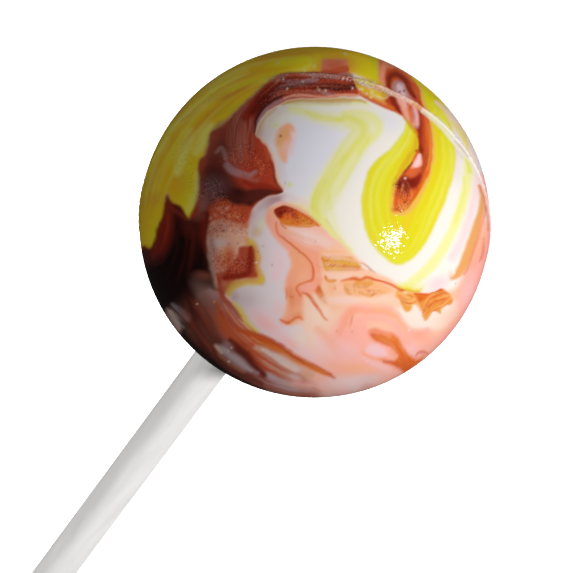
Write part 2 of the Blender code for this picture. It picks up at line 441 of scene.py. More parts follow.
def paintYellow():
    w = "yellow"
    dabs(w, ("oliveGreen", 218, 86, 26, 6, -32, 0.8), ("oliveGreen", 302, 62, 24, 6, -4, 1.0),
        ("lemon", 366, 71, 16, 9, 25, 0.75), ("oliveGreen", 172, 142, 9, 22, 25, 0.7),
        ("oliveGreen", 188, 202, 7, 16, 0, 0.9), ("oliveGreen", 188, 176, 9, 20, 0, 0.6),
        ("oliveGreen", 154, 228, 7, 14, 10, 0.6), ("bronze", 166, 176, 8, 10, 10, 0.9),
        ("amber", 181, 182, 8, 10, 10, 0.35), ("amber", 154, 199, 10, 6, -30, 0.6),
        ("bronze", 150, 214, 8, 14, 5, 0.5), ("bronze", 172, 192, 14, 12, 0, 0.45),
        ("amber", 148, 182, 4, 6, 10, 0.4), ("bronze", 252, 72, 14, 5, -20, 0.9), ("amber", 268, 57, 12, 3, -14, 0.4),
        ("bronze", 203, 116, 8, 6, -20, 0.9), ("bronze", 192, 127, 7, 3, -10, 0.8),
        ("bronze", 183, 112, 6, 3, -40, 0.8), ("bronze", 172, 138, 4, 8, 30, 0.6), ("amber", 290, 54, 34, 3, -4, 0.4))
    drag("amber", [(204, 103, 1), (214, 99.5, 2.4), (226, 96, 2.6), (240, 90, 1.8), (256, 82, 0.6)], 2.2, 0.75, w)
    drag("paleOlive", [(172, 131, 1), (178, 124, 2), (186, 117.5, 3), (194, 110, 3.4), (203, 103, 2.6), (208, 99, 1)],
        3, 0.9, w)
    drag("ash", [(180, 122, 0.5), (188, 116, 1.2), (196, 109, 1)], 1.5, 0.35, w)
    drag("paleOlive", [(177, 172, 2), (181, 158, 5), (184, 149, 6), (188, 140, 5), (190, 132, 3)], 5, 0.8, w)
    drag("paleOlive", [(196, 152, 2), (203, 140, 6), (205, 132, 6), (210, 126, 3)], 5, 0.75, w)
    drag("paleOlive", [(209, 90, 3), (218, 82, 4), (232, 77, 3), (246, 70, 2)], 4, 0.5, w)
    drag("paleOlive", [(160, 152, 2), (164, 146, 3), (168, 136, 1)], 3, 0.5, w)
    drag("paleOlive", [(152, 190, 1), (153, 180, 2.5), (157, 170, 2)], 3, 0.5, w)
    drag("paleOlive", [(186, 214, 1), (193, 200, 3), (197, 188, 3), (198, 174, 2)], 3.5, 0.55, w)
    drag("lime", [(216, 114, 0.6), (223, 111, 0.9), (232, 107, 0.9), (246, 102, 0.6)], 0.9, 0.75, w)
    drag("lime", [(217, 118, 0.6), (226, 112.5, 0.9), (238, 109, 0.6)], 0.9, 0.6, w)
    drag("bronze", [(217, 115.8, 0.4), (226, 111.5, 0.7), (238, 106.5, 0.5)], 0.8, 0.7, w)
    drag("oliveGreen", [(232, 90, 0.6), (244, 85.5, 1.4), (256, 81.5, 1.8), (267, 79, 1)], 1.6, 0.95, w)
    comb(("amber", "oliveGreen", "bronze", "paleOlive"), [(148, 215, 10), (156, 175, 16), (178, 132, 18),
        (215, 95, 16), (255, 74, 12), (305, 62, 9)], 44, 3, 0.3, 1.5, 1.5, w)
    # grey haze where the yellow meets the dark band
    drag("ash", [(196, 206, 1), (200, 190, 2), (202, 170, 2.4), (206, 155, 2), (211, 138, 1.6), (218, 127, 2.2),
        (228, 121, 2.4), (237, 112, 2.4), (247, 103, 2), (257, 94, 2), (268, 84, 1.6), (280, 76, 1.2)], 3.4, 0.7)
    pool("salmon", [(322.5, 60), (335, 59), (346.5, 60.5), (347, 66), (347.5, 72), (335, 73), (322, 72), (322, 66)],
        edge=1.8)
    pool("rust", [(323, 69.5), (331, 69), (336, 67.5), (347, 66), (348, 72), (335, 73.5), (322, 72.5)], edge=1.4)
    dab("rust", 335, 66, 16, 9, 0, 0.85)


def paintDarkBand():
    # the band that runs over the white lobe and down its left side
    pool("brick", [(284, 73), (300, 73), (322, 72), (348, 73), (353, 79), (357, 86), (360, 92), (358, 96), (345, 97),
        (328, 98), (313, 98.5), (298, 99), (288, 100.5), (279, 104), (271, 109), (264, 115), (259, 122), (256.5, 129),
        (258, 135), (263, 141), (268, 148), (271, 157), (274, 166), (275, 175), (278, 183), (284, 190.5), (282, 194),
        (271, 195.5), (264, 199), (257, 204), (252, 210), (249.5, 218), (244, 226), (230, 222), (214, 222),
        (207, 232), (206, 245), (196, 240), (190, 219), (193, 212), (196, 204), (199, 196), (200, 184), (199, 170),
        (200, 160), (206, 155), (209, 145), (211, 134), (218, 129), (227, 123), (234, 115), (241, 107), (249, 100),
        (258, 93), (266, 84), (275, 79)], edge=2.4, name="band")
    w = "band"
    # left shoulder
    dabs(w, ("cocoa", 228, 142, 17, 20, 10, 0.9), ("maroon", 226, 138, 10, 12, 15, 0.6),
        ("cocoa", 207, 165, 8, 14, 0, 0.55))
    drag("rust", [(205, 158, 2), (204, 168, 3), (205, 180, 2)], 2, 0.6, w)
    dabs(w, ("umber", 218, 180, 14, 15, 10, 1.0), ("soot", 216, 184, 10, 12, 10, 0.55),
        ("umber", 215, 160, 10, 12, 0, 0.6), ("umber", 224, 148, 8, 6, 20, 0.5))
    drag("ash", [(217, 152, 1.2), (221, 148, 1.8), (224, 153, 2.2), (226, 159, 1.6)], 2, 0.75, w)
    drag("mauve", [(227, 165, 3.2), (232, 170, 4), (240, 174, 3.4), (249, 176, 2.6), (256, 172, 1.5)], 2.2, 0.75, w)
    drag("cocoa", [(243, 176, 2), (251, 180, 2.4), (258, 181, 1.5)], 2, 0.7, w)
    # umber sweep to the point under the lobe
    drag("umber", [(222, 192, 5), (236, 196, 8), (248, 197, 8), (260, 194, 6), (271, 191, 3.5), (281, 192, 1)], 3,
        0.95, w)
    dab("soot", 234, 192, 9, 7, 0, 0.7, w)
    drag("soot", [(233, 202, 2), (243, 204, 2.5), (250, 204, 2)], 2, 0.7, w)
    drag("oxblood", [(245, 182, 2), (256, 186, 3), (268, 186, 3), (276, 189, 1.5)], 2, 0.7, w)
    drag("maroon", [(270, 160, 1), (273.5, 170, 1.3), (275, 179, 1.6), (279, 186, 1.4), (283, 190, 0.6)], 1, 0.85, w)
    dabs(w, ("brick", 264, 158, 8, 18, -12, 0.7), ("oxblood", 252, 128, 3.5, 20, 6, 0.5))
    drag("rust", [(262, 140, 2), (266, 148, 2.5), (268, 158, 2)], 2, 0.45, w)
    drag("rust", [(256, 158, 1.5), (261, 166, 2.5), (262, 175, 1.5)], 2, 0.55, w)
    dab("cocoa", 243, 128, 9, 22, 12, 0.45, w)
    comb(("cocoa", "maroon", "rust", "ash"), [(252, 104, 5), (244, 116, 8), (240, 132, 10), (239, 150, 9)], 30, 71,
        0.34, 0.7, 0.3, w)
    # over the top
    comb(("cocoa", "maroon", "rust", "ash", "brick", "maroon"), [(246, 103, 8), (241, 120, 13), (240, 140, 14),
        (242, 160, 10)], 34, 7, 0.3, 0.9, 0.5, w)
    drag("oxblood", [(246, 118, 4), (256, 106, 7), (268, 96, 8), (282, 89, 6), (300, 88, 4), (318, 88, 3.5),
        (338, 88, 4.5), (352, 87, 3)], 3, 0.85, w)
    drag("maroon", [(252, 112, 1.5), (260, 103, 4), (270, 94, 5), (281, 89, 5), (292, 87, 3)], 3, 0.9, w)
    drag("umber", [(255.5, 131, 1.4), (256, 121, 2.2), (259, 113, 2.6), (264, 107, 2.4), (270, 102, 2.2),
        (277, 98, 1.8), (284, 92, 1.6), (289, 87.5, 1.2)], 1.8, 0.95, w)
    drag("cocoa", [(270, 94, 1.5), (277, 91, 2), (284, 89, 1)], 2, 0.45, w)
    drag("umber", [(312, 90, 0.8), (320, 88, 1.4), (329, 88.5, 2.2), (337, 88, 3.4), (346, 87.5, 3),
        (353, 86.5, 2.6)], 2, 0.9, w)
    drag("brick", [(284, 95, 1.5), (296, 92.5, 2.4), (308, 91, 2), (322, 93.5, 1.2), (345, 93.5, 1.4)], 1.8, 0.8, w)
    drag("mauve", [(283, 80.5, 1.2), (289, 82, 2.2), (296, 82.5, 2.4), (303, 82, 2.6), (310, 80.5, 2.4),
        (317, 79.5, 1)], 1.4, 0.95, w)
    drag("rust", [(280, 73.5, 1.2), (290, 75, 1.6), (300, 76, 1.8), (311, 75, 1.4)], 1.4, 0.7, w)
    drag("ash", [(274, 80, 1), (281, 77, 1.4), (292, 73, 1), (303, 73, 1.8), (314, 75, 2.4), (324, 75, 2.6),
        (336, 77, 2.2), (345, 74, 2.4), (353, 77, 2)], 1.8, 0.7, w)
    drag("mauve", [(322, 92, 1), (327, 94.5, 1.6), (334, 95, 1)], 1.4, 0.7, w)
    drag("salmon", [(275, 82.5, 0.5), (277.5, 81, 1), (280, 79.8, 0.6)], 0.9, 0.9)
    comb(("rust", "umber", "ash", "oxblood"), [(262, 98, 6), (282, 86, 8), (310, 84, 9), (350, 86, 8)], 30, 8, 0.35,
        1.0, 1.2, w)
    # pale line and dark line that edge the lobe
    drag("mauve", [(257.5, 130, 1.2), (258.5, 122, 1.7), (263, 113.5, 1.8), (270, 106.5, 1.8), (279, 101, 1.6),
        (288, 97.3, 1.3), (299, 95.8, 1), (312, 95.8, 1)], 1.2, 0.85)
    drag("salmon", [(284, 98, 0.8), (293, 95.6, 1.1), (302, 95, 1.2), (312, 96, 1), (325, 96.6, 0.9),
        (340, 95.6, 1.1), (352, 95.3, 1.3), (361, 96, 0.8)], 0.9, 0.8)
    drag("rust", [(261, 126, 0.6), (263.5, 119, 0.9), (268.5, 112, 0.9), (276, 105.5, 0.9), (285, 100.8, 0.9),
        (297, 98.3, 0.9), (312, 98.3, 1), (327, 98.6, 1), (338, 97.4, 0.6)], 0.9, 0.9)


def paintLobe():
    pool("milk", [(257, 134), (257, 128), (260, 121), (265, 114.5), (272, 109), (280, 104), (288, 101), (298, 99.5),
        (313, 99), (330, 98.5), (345, 98), (358, 99), (368, 101.5), (380, 105.5), (390, 110), (398, 114.5),
        (404, 119), (409, 126), (412, 136), (404, 150), (390, 170), (380, 200), (372, 230), (366, 262), (352, 258),
        (338, 243), (326, 230), (316, 219), (304, 211.5), (292, 206), (283, 204), (274, 206), (268, 203), (268, 198),
        (276, 195.5), (284, 193), (283, 187), (278, 178), (276, 168), (272.5, 156), (268, 147), (262, 140)], edge=1.4,
        name="lobe")
    w = "lobe"
    dab("pearl", 312, 146, 44, 40, 0, 1.0, w, 0.3)
    dab("pearl", 292, 182, 20, 24, 0, 0.8, w, 0.2)
    dabs(w, ("dove", 264, 134, 9, 22, 20, 0.8), ("ash", 259, 132, 4, 10, 10, 0.5),
        ("paleLemon", 278, 116, 18, 8, -35, 0.25), ("dove", 282, 108, 18, 6, -28, 0.5),
        ("dove", 279, 168, 5, 18, -15, 0.5), ("pearl", 388, 122, 14, 9, 30, 0.7), ("shell", 302, 203, 18, 4, 26, 0.7))
    # olive and gold fringe inside the top edge
    drag("paleLemon", [(288, 103, 1), (302, 103, 2.4), (320, 103.5, 3), (340, 103, 3.4), (356, 102.5, 3),
        (368, 104, 1)], 2.6, 0.6, w)
    drag("oldGold", [(282, 104, 0.8), (296, 100.8, 1.3), (312, 100.3, 1.6), (330, 100.2, 1.8), (346, 99.3, 2.2),
        (358, 99.6, 2), (366, 101.6, 1)], 1.8, 0.85, w)
    drag("ash", [(288, 102.5, 0.8), (300, 102, 1.8), (318, 102.5, 2), (336, 102.5, 2), (350, 102, 1.4)], 2.4, 0.35, w)
    drag("oldGold", [(257.5, 136, 0.7), (259.5, 128, 1.2), (263, 121, 1.3), (268, 114.5, 1.2), (276, 108.5, 0.9)],
        1.4, 0.55, w)
    drag("apricot", [(258, 136, 1), (264, 141, 1.2), (269, 148, 1.1), (273, 157, 0.9), (276, 170, 0.8), (279, 181, 1),
        (284, 188, 1)], 1.2, 0.7, w)
    # pale lemon strands: from the upper left round a bend and down to the foot of the lobe
    drag("paleLemon", [(292, 109, 1), (304, 112, 3), (318, 116.5, 4.4), (332, 119, 5.4), (346, 121, 7), (357, 126, 9),
        (361, 135, 10), (356, 145, 11), (348, 155, 12), (341, 166, 13), (334, 178, 13.4), (327, 190, 13.4),
        (322, 202, 12.6), (322, 213, 11), (327, 223, 9), (332, 232, 7), (339, 242, 5), (348, 252, 3)], 7, 0.68, w)
    drag("paleLemon", [(344, 113, 1.5), (356, 112.5, 3.2), (368, 115, 4.8), (376, 121, 5.4), (378, 129, 5.2),
        (373, 137, 4.4), (364, 146, 3), (358, 153, 1.5)], 3.4, 0.75, w)
    drag("lime", [(338, 119, 0.8), (349, 118.5, 1.6), (358, 121.5, 2.2), (363, 128, 2.4), (362, 136, 2.2),
        (355, 145, 2.4), (347, 155, 2.4), (341, 164, 1.4)], 3, 0.42, w)
    dab("milk", 369, 130, 2.4, 4, 20, 0.8, w)
    comb(("paleLemon", "lime", "milk", "paleLemon"), [(345, 119, 4), (361, 128, 8), (352, 148, 10), (338, 170, 11),
        (326, 190, 11), (320, 206, 9), (326, 222, 7), (338, 240, 4), (350, 254, 2)], 30, 12, 0.36, 1.8, 0.6, w)
    drag("lime", [(346, 156, 1.4), (337, 169, 2.4), (331, 181, 2.6), (328, 194, 2.4), (329, 208, 1.6)], 4, 0.28, w)
    drag("lime", [(326, 182, 1.4), (320, 193, 2.6), (316, 205, 2.2), (318, 216, 1.2)], 4, 0.32, w)
    drag("lime", [(306, 112, 0.8), (318, 116.5, 2.4), (330, 119, 2), (342, 120, 1)], 3, 0.4, w)
    drag("gold", [(326, 219, 0.6), (332, 229, 1.3), (338, 237, 1.5), (344, 244, 1.1), (350, 250, 0.5)], 2.4, 0.35, w)
    # orange smudge
    drag("apricot", [(288, 128, 5), (284, 135, 7), (281, 143, 6), (281, 151, 4), (283, 158, 2)], 4, 0.85, w)
    pool("amber", [(278, 130), (283, 127), (288, 128), (290, 133), (287, 138), (282, 143), (277, 146), (275.5, 141),
        (276, 135)], edge=3, strength=0.4, within=w)
    drag("salmon", [(281, 128, 1.2), (287, 126, 1.8), (292, 128, 1.8), (295, 134, 1.2)], 1.8, 0.7, w)
    drag("salmon", [(290, 135, 1.5), (289, 143, 2.4), (286, 152, 2.4), (285, 161, 1.4)], 3, 0.6, w)
    drag("lilacPink", [(296, 132, 1), (294, 142, 1.6), (291, 154, 1.6)], 2.4, 0.6, w)
    dabs(w, ("milk", 295, 134, 3, 2, 20, 0.5), ("lime", 289.5, 185, 2.6, 2.4, 0, 0.6),
        ("lime", 276, 125.5, 3, 1.5, -20, 0.5))


def paintHook():
    # yellow ground right of the hook, out to the edge of the ball
    pool("lemon", [(372, 50), (385, 61), (392, 64), (405, 72), (418, 82), (430, 92), (440, 101), (448, 112),
        (452, 124), (455, 140), (456, 158), (453, 176), (449, 190), (443, 206), (436, 222), (428, 238), (418, 252),
        (408, 261), (400, 265), (390, 262), (381, 254.5), (373, 245), (367, 233), (363.5, 218), (362, 204),
        (363.5, 190), (366.5, 178), (370, 169), (378, 159.5), (386, 153), (394, 146), (401, 136), (405.5, 127),
        (406, 119), (400, 112), (380, 90), (372, 74)], edge=3, name="loop")
    w = "loop"
    # stripes of the left arm, then of the right arm
    drag([(-1, "gold"), (-0.55, "gold"), (-0.3, "lemon"), (0, "brightLemon"), (0.25, "lemon"), (0.5, "brightLemon"),
        (0.8, "lime"), (1, "lime")], [(412, 122, 7), (410, 134, 9), (404, 148, 12), (395, 160, 14), (386, 172, 15),
        (380, 184, 15.5), (377, 198, 15.5), (378, 212, 15.5), (382, 226, 16), (389, 240, 14), (398, 251, 12)], 2.4,
        0.95, w)
    drag("paleLemon", [(411, 128, 2), (409, 140, 3), (402, 149, 3), (394, 157, 3), (385, 165, 2.6), (378, 175, 1.6),
        (373, 188, 1.3), (371, 202, 1.3), (372, 216, 1.2)], 2.4, 0.25, w)
    drag("paleLemon", [(365, 186, 1), (363.5, 200, 1.6), (364.5, 216, 1.8), (368, 230, 1.4)], 2, 0.45, w)
    drag("gold", [(416, 133, 2), (414, 146, 4), (407, 158, 5), (401, 168, 5), (394, 180, 4), (390, 194, 3.4),
        (389, 208, 2)], 3, 0.95, w)
    drag("oldGold", [(417, 136, 1), (415, 148, 2), (409, 158, 2.6), (403, 167, 2.4), (397, 176, 1.4),
        (393, 190, 1.2)], 2, 0.6, w)
    drag("oldGold", [(402, 116, 0.8), (407, 121, 1.4), (411, 127, 1.6), (415, 133, 1.2)], 1.4, 0.7, w)
    drag([(-1, "lemon"), (-0.55, "brightLemon"), (-0.3, "lime"), (0.0, "lemon"), (0.45, "gold"), (1, "gold")],
        [(440, 118, 8), (443, 132, 9), (444, 146, 10.5), (444, 160, 11), (441, 175, 11), (436, 190, 12),
        (429, 204, 13), (420, 219, 14), (411, 233, 14), (402, 246, 12)], 2.4, 0.9, w)
    drag("brightLemon", [(442, 136, 0.8), (443.5, 148, 1.6), (444, 160, 1.7), (442, 173, 1.6), (437, 186, 1.6),
        (431, 199, 1.5), (424, 212, 1.6), (417, 224, 1.2)], 1.6, 0.9, w)
    drag("paleLemon", [(452, 150, 1.4), (451, 166, 2.2), (447, 180, 2.4), (442, 193, 2.2), (437, 205, 2),
        (431, 218, 2), (424, 232, 2), (415, 246, 1)], 2.2, 0.3, w)
    comb(("lime", "lemon", "gold", "brightLemon"), [(412, 128, 5), (402, 148, 11), (386, 170, 14), (378, 192, 15),
        (378, 214, 15), (386, 236, 14), (400, 254, 9), (414, 246, 10), (426, 222, 12), (438, 192, 11), (444, 160, 9),
        (443, 132, 8)], 54, 15, 0.4, 1.0, 0.7, w)
    drag("lime", [(366, 228, 0.8), (369, 238, 1.2), (376, 248, 1.2), (386, 257, 1.4), (397, 262.5, 1.6),
        (408, 259, 1.4), (418, 251, 1.4), (426, 241, 1)], 1.6, 0.6, w)
    dab("lime", 405, 262, 10, 5, -30, 0.4, w)
    # the yellow near the top right edge
    drag("oldGold", [(410, 77, 1.5), (418, 84, 2), (427, 92, 2), (436, 99, 1.5)], 2, 0.4, w)
    drag("lime", [(409, 77, 1.2), (418, 84, 2), (427, 91.5, 2), (436, 100, 1.2)], 2, 0.6, w)
    drag("brightLemon", [(431, 103, 1), (436, 110, 2), (442, 116, 2.4), (446, 124, 1)], 2, 0.6, w)
    # light orange fringe round the red core
    drag("honey", [(419, 86, 1), (421.5, 95, 1.6), (425, 105, 1.6), (429, 115, 1.5), (432, 128, 1.5),
        (433.3, 142, 1.5), (433, 157, 1.5), (430, 171, 1.5), (426, 184, 1.6), (420, 196, 1.8), (413, 207, 2),
        (404, 214, 2), (395, 213, 1.5), (391.5, 208, 1.4), (393, 197, 1.5), (396, 186, 1.5), (402, 175, 1.2)], 1.6,
        0.8)
    # red and orange core, right branch
    pool("burntOrange", [(380, 58), (390, 60), (402, 68), (412, 78), (419, 90), (422, 103), (427, 113), (430, 124),
        (432, 138), (432, 152), (430.5, 166), (426, 180), (419, 193), (411, 205), (405, 211), (399, 212),
        (393.5, 209), (393.5, 200), (396, 189), (400, 180), (405, 172), (410, 164), (416, 152), (419, 144),
        (416, 133), (412, 126), (406, 119), (400, 115), (391, 109), (384, 103), (380, 92), (379, 76)], edge=1.6,
        name="hook")
    w = "hook"
    drag("honey", [(378, 62, 1.5), (379, 74, 2), (379, 86, 2), (382, 98, 1)], 2.4, 0.7)
    drag("salmon", [(384, 62, 3), (383, 72, 2.4), (383, 84, 2), (384, 94, 1.4)], 2.4, 0.6, w)
    drag("salmon", [(386, 62, 2), (396, 66, 2), (406, 73, 2), (414, 81, 2)], 2.4, 0.5, w)
    drag("tangerine", [(425, 112, 2), (427.5, 126, 3), (429, 142, 3), (428.5, 158, 3), (425.5, 172, 3),
        (420, 185, 3)], 2, 0.95, w)
    drag("brick", [(412, 88, 5), (416, 96, 4), (420, 106, 3), (422, 118, 3.2), (421.5, 130, 4), (422.5, 142, 4),
        (424, 154, 4.2), (424, 165, 3.6), (420, 176, 3)], 1.8, 0.9, w)
    drag("oxblood", [(418, 110, 1.5), (420.5, 122, 2), (420, 134, 2.4), (421, 146, 2.6), (423, 156, 2.6),
        (422.5, 167, 2), (418, 177, 2)], 1.6, 0.75, w)
    drag("maroon", [(419.5, 146, 1), (422.5, 152, 2), (425, 158, 1)], 1.2, 0.7, w)
    comb(("tangerine", "brick", "rust", "burntOrange", "oxblood"), [(420, 104, 4), (426, 122, 5), (427, 142, 5.5),
        (427, 160, 5), (420, 182, 5)], 16, 21, 0.5, 0.8, 0.3, w)
    drag("tangerine", [(428, 118, 0.8), (430, 132, 1.6), (430.5, 148, 1.8), (428.5, 164, 1.4), (424, 177, 1)], 1.4,
        0.7, w)
    drag("amber", [(429, 124, 0.5), (430.5, 140, 1), (430, 156, 1), (427, 170, 0.6)], 1.2, 0.5, w)
    # head of the hook: a soft oxblood arch over a pale core
    drag("brick", [(387, 92, 2.4), (387, 81, 3.2), (391, 74, 3.4), (398, 74, 3.2), (405, 80, 3.2), (410, 88, 3),
        (414, 96, 2.4)], 3, 0.9, w)
    drag("salmon", [(384, 90, 1), (382, 78, 2), (384, 68, 2.4), (392, 66, 2)], 2.4, 0.5, w)
    drag("tangerine", [(398, 67, 1), (406, 73, 2), (413, 82, 2.2), (418, 92, 1.6)], 2.4, 0.55, w)
    drag("maroon", [(389, 90, 1.6), (389, 82, 2.4), (391, 76, 2.6), (398, 75, 2.4), (405, 81, 2.2), (409, 89, 2.2),
        (415, 97, 1.6)], 2.4, 0.75, w)
    drag("rust", [(413, 83, 1.5), (417, 91, 1.8), (419, 99, 1.2)], 2, 0.6, w)
    drag("brick", [(386, 94, 2.4), (388, 100, 4), (392, 106, 4), (398, 112, 2.4)], 1.8, 0.9, w)
    drag("oxblood", [(390, 93, 2.4), (393, 99, 3), (396, 106, 3), (400, 113, 1.4)], 1.6, 0.95, w)
    pool("mauve", [(393, 83), (397, 80), (402, 82), (406, 89), (410, 97), (415, 104), (418, 112), (419, 121),
        (418, 128), (413, 127), (407, 120), (402, 111), (397, 101), (393, 91)], edge=2, name="hookCore")
    w = "hookCore"
    dab("ash", 396, 84, 4, 4, 0, 0.6, w)
    drag("lilacPink", [(399, 86, 1.4), (402, 92, 2.6), (403, 99, 3), (405, 106, 2)], 3, 0.75, w)
    dab("dove", 401, 88, 3, 4, 20, 0.6, w)
    drag("salmon", [(399, 100, 2), (404, 109, 3), (408, 117, 3), (413, 125, 2)], 2.4, 0.85, w)
    drag("rose", [(414, 106, 1.6), (417, 115, 2), (418, 124, 2)], 1.8, 0.9, w)
    drag("tangerine", [(407, 101, 1), (409, 107, 2), (411, 115, 1.8), (412, 123, 1)], 1.6, 0.85, w)
    dab("burntOrange", 410.5, 107.5, 1.6, 1.6, 0, 0.8, w)
    drag("oldGold", [(404, 118, 0.8), (409, 123, 1.4), (413, 128, 1.4), (417, 135, 0.8)], 1.5, 0.7)
    # foot of the hook
    pool("salmon", [(420, 154), (421, 159), (421, 165), (417, 168), (411, 169.5), (411.5, 165), (416, 159)], edge=1.6)
    drag("lilacPink", [(419, 156, 1), (418, 161, 2.6), (415.5, 165.5, 2.2)], 2, 0.9)
    pool("rust", [(409, 169), (417, 168), (421, 169), (419, 175), (412, 178), (406, 178), (406, 172)], edge=2)
    dab("tangerine", 411, 171.5, 4, 2.4, -20, 0.6)
    drag("maroon", [(412, 162.5, 0.7), (408, 167.5, 1.1), (404, 173, 0.9)], 1, 0.8)
    drag("brick", [(406, 170, 1), (402, 176, 2), (398.5, 185, 2)], 1.6, 0.9)
    pool("oxblood", [(399, 179), (406, 176), (412, 178), (420, 173), (421, 181), (416, 188), (408, 191), (400, 191),
        (396, 187)], edge=2.6)
    dabs(None, ("umber", 404, 184, 6, 3.4, 0, 0.7), ("maroon", 412, 183, 6, 3, -15, 0.7),
        ("brick", 404, 193, 8, 4, -5, 0.8))
    pool("tangerine", [(397, 196), (406, 195), (415, 190), (414, 198), (409, 206), (402, 211), (396, 211),
        (394, 205)], edge=2.4, strength=0.6)
    comb(("maroon", "tangerine", "umber", "rust", "honey"), [(404, 180, 2), (406, 188, 5), (405, 198, 6),
        (401, 207, 3)], 18, 23, 0.4, 0.8, 0.5, "hook")
    dabs(None, ("honey", 402, 208, 6, 3.4, -20, 0.5), ("burntOrange", 396, 210, 4, 2, 0, 0.8))
    # orange corner between the band and the lobe
    pool("oldGold", [(354, 79), (362, 79), (372, 80), (382, 84), (387, 92), (387, 98), (384, 103), (377, 101),
        (368, 97), (359, 91), (355, 85)], edge=2, strength=0.95)
    dabs(None, ("lemon", 374, 84, 6, 3, 10, 0.6), ("oliveGreen", 378, 96, 5, 3, 30, 0.6))
    comb(("paleLemon", "bronze", "shell", "olive"), [(356, 82, 4), (368, 88, 6), (384, 95, 6)], 22, 25, 0.6, 0.8, 1.0)
    drag("tangerine", [(359, 92, 1.3), (367, 97, 2.2), (376, 101, 2.4), (385, 105, 2.6), (393, 109, 1.5)], 1.8, 0.9)
    drag("burntOrange", [(361, 95, 0.6), (370, 100, 1), (380, 104.5, 1), (391, 109.5, 1), (401, 115, 0.7)], 0.9, 0.9)
    drag("honey", [(362, 93, 0.5), (371, 96.5, 0.8), (380, 100, 0.8), (387, 104, 0.5)], 0.8, 0.7)


def paintRightSide():
    drag("paleLemon", [(456, 108, 2), (461, 124, 5), (464, 140, 5), (468, 158, 5), (468, 174, 5), (466, 190, 5),
        (462, 206, 5), (456, 222, 5), (449, 238, 5), (440, 254, 5), (429, 268, 5.4), (417, 279, 5), (407, 286, 4)],
        2.6, 0.8)
    pool("pearl", [(446, 104), (450, 116), (454, 130), (460, 141), (470, 152), (480, 170), (490, 160), (470, 120)],
        edge=2)
    drag("paleLemon", [(456, 116, 1), (460, 126, 3), (464, 137, 3.4), (469, 149, 2)], 2.4, 0.9)
    drag("gold", [(459, 123, 0.8), (463, 132, 1.6), (466, 142, 1)], 2, 0.35)
    dab("shell", 474, 158, 4, 10, -25, 0.7)
    drag("brightLemon", [(464, 178, 1), (464, 192, 1.8), (460, 208, 2), (455, 222, 1.5)], 2.2, 0.4)
    drag("lime", [(466, 152, 1), (468, 162, 2), (470, 172, 1.6)], 2.4, 0.6)
    dabs(None, ("dove", 458, 148, 4, 10, -20, 0.6), ("lavender", 457, 170, 4, 14, 0, 0.6))
    drag("pearl", [(480, 160, 1.5), (485, 176, 3), (487, 192, 2)], 3, 0.7)
    drag("lilacPink", [(476, 165, 2), (477, 180, 3), (474, 200, 3.5), (469, 220, 4), (462, 240, 4), (452, 258, 4)],
        3.5, 0.6)
    dab("lilacPink", 438, 284, 10, 6, -25, 0.8)
    # orange stripes that run down inside the right edge
    drag("amber", [(479, 186, 0.8), (482, 198, 2.4), (481, 212, 3.6), (478, 224, 4.6), (474, 238, 5), (469, 252, 5),
        (464, 264, 4.8), (459, 273, 4), (453, 279, 1.6)], 2.2, 0.9)
    drag("rust", [(480, 186, 0.6), (484, 198, 1), (485.5, 212, 1), (482, 226, 0.9), (478, 240, 1), (473, 254, 1),
        (469, 266, 1.2), (465, 274, 1.3)], 1.2, 0.6)
    drag("rose", [(483, 176, 1.6), (487, 190, 1.6), (489, 206, 1.2)], 1.6, 0.8)
    drag("rust", [(486, 206, 0.5), (487.5, 218, 0.9), (488, 230, 0.7)], 1, 0.5)
    drag("salmon", [(484, 214, 2), (482, 232, 2.5), (478, 248, 3), (472, 266, 3)], 2, 0.7)
    drag("rust", [(484, 238, 0.6), (483.5, 248, 1), (481, 258, 1.6), (479.5, 261, 0.7)], 1.3, 0.6)
    drag("apricot", [(486, 222, 1), (484, 238, 1.6), (480, 252, 1.6)], 1.5, 0.5)
    dabs(None, ("salmon", 466, 292, 9, 14, 15, 0.5), ("rose", 472, 294, 11, 24, 22, 0.75),
        ("lilacPink", 468, 292, 6, 14, 20, 0.45))
    drag("rose", [(474, 296, 2), (466, 312, 4), (457, 326, 4), (446, 338, 3)], 3, 0.55)
    dabs(None, ("salmon", 452, 320, 12, 8, -50, 0.5), ("shell", 441, 322, 9, 7, -30, 0.6))
    drag("rose", [(470, 306, 2), (460, 324, 3), (447, 338, 3), (435, 346, 2)], 3, 0.7)


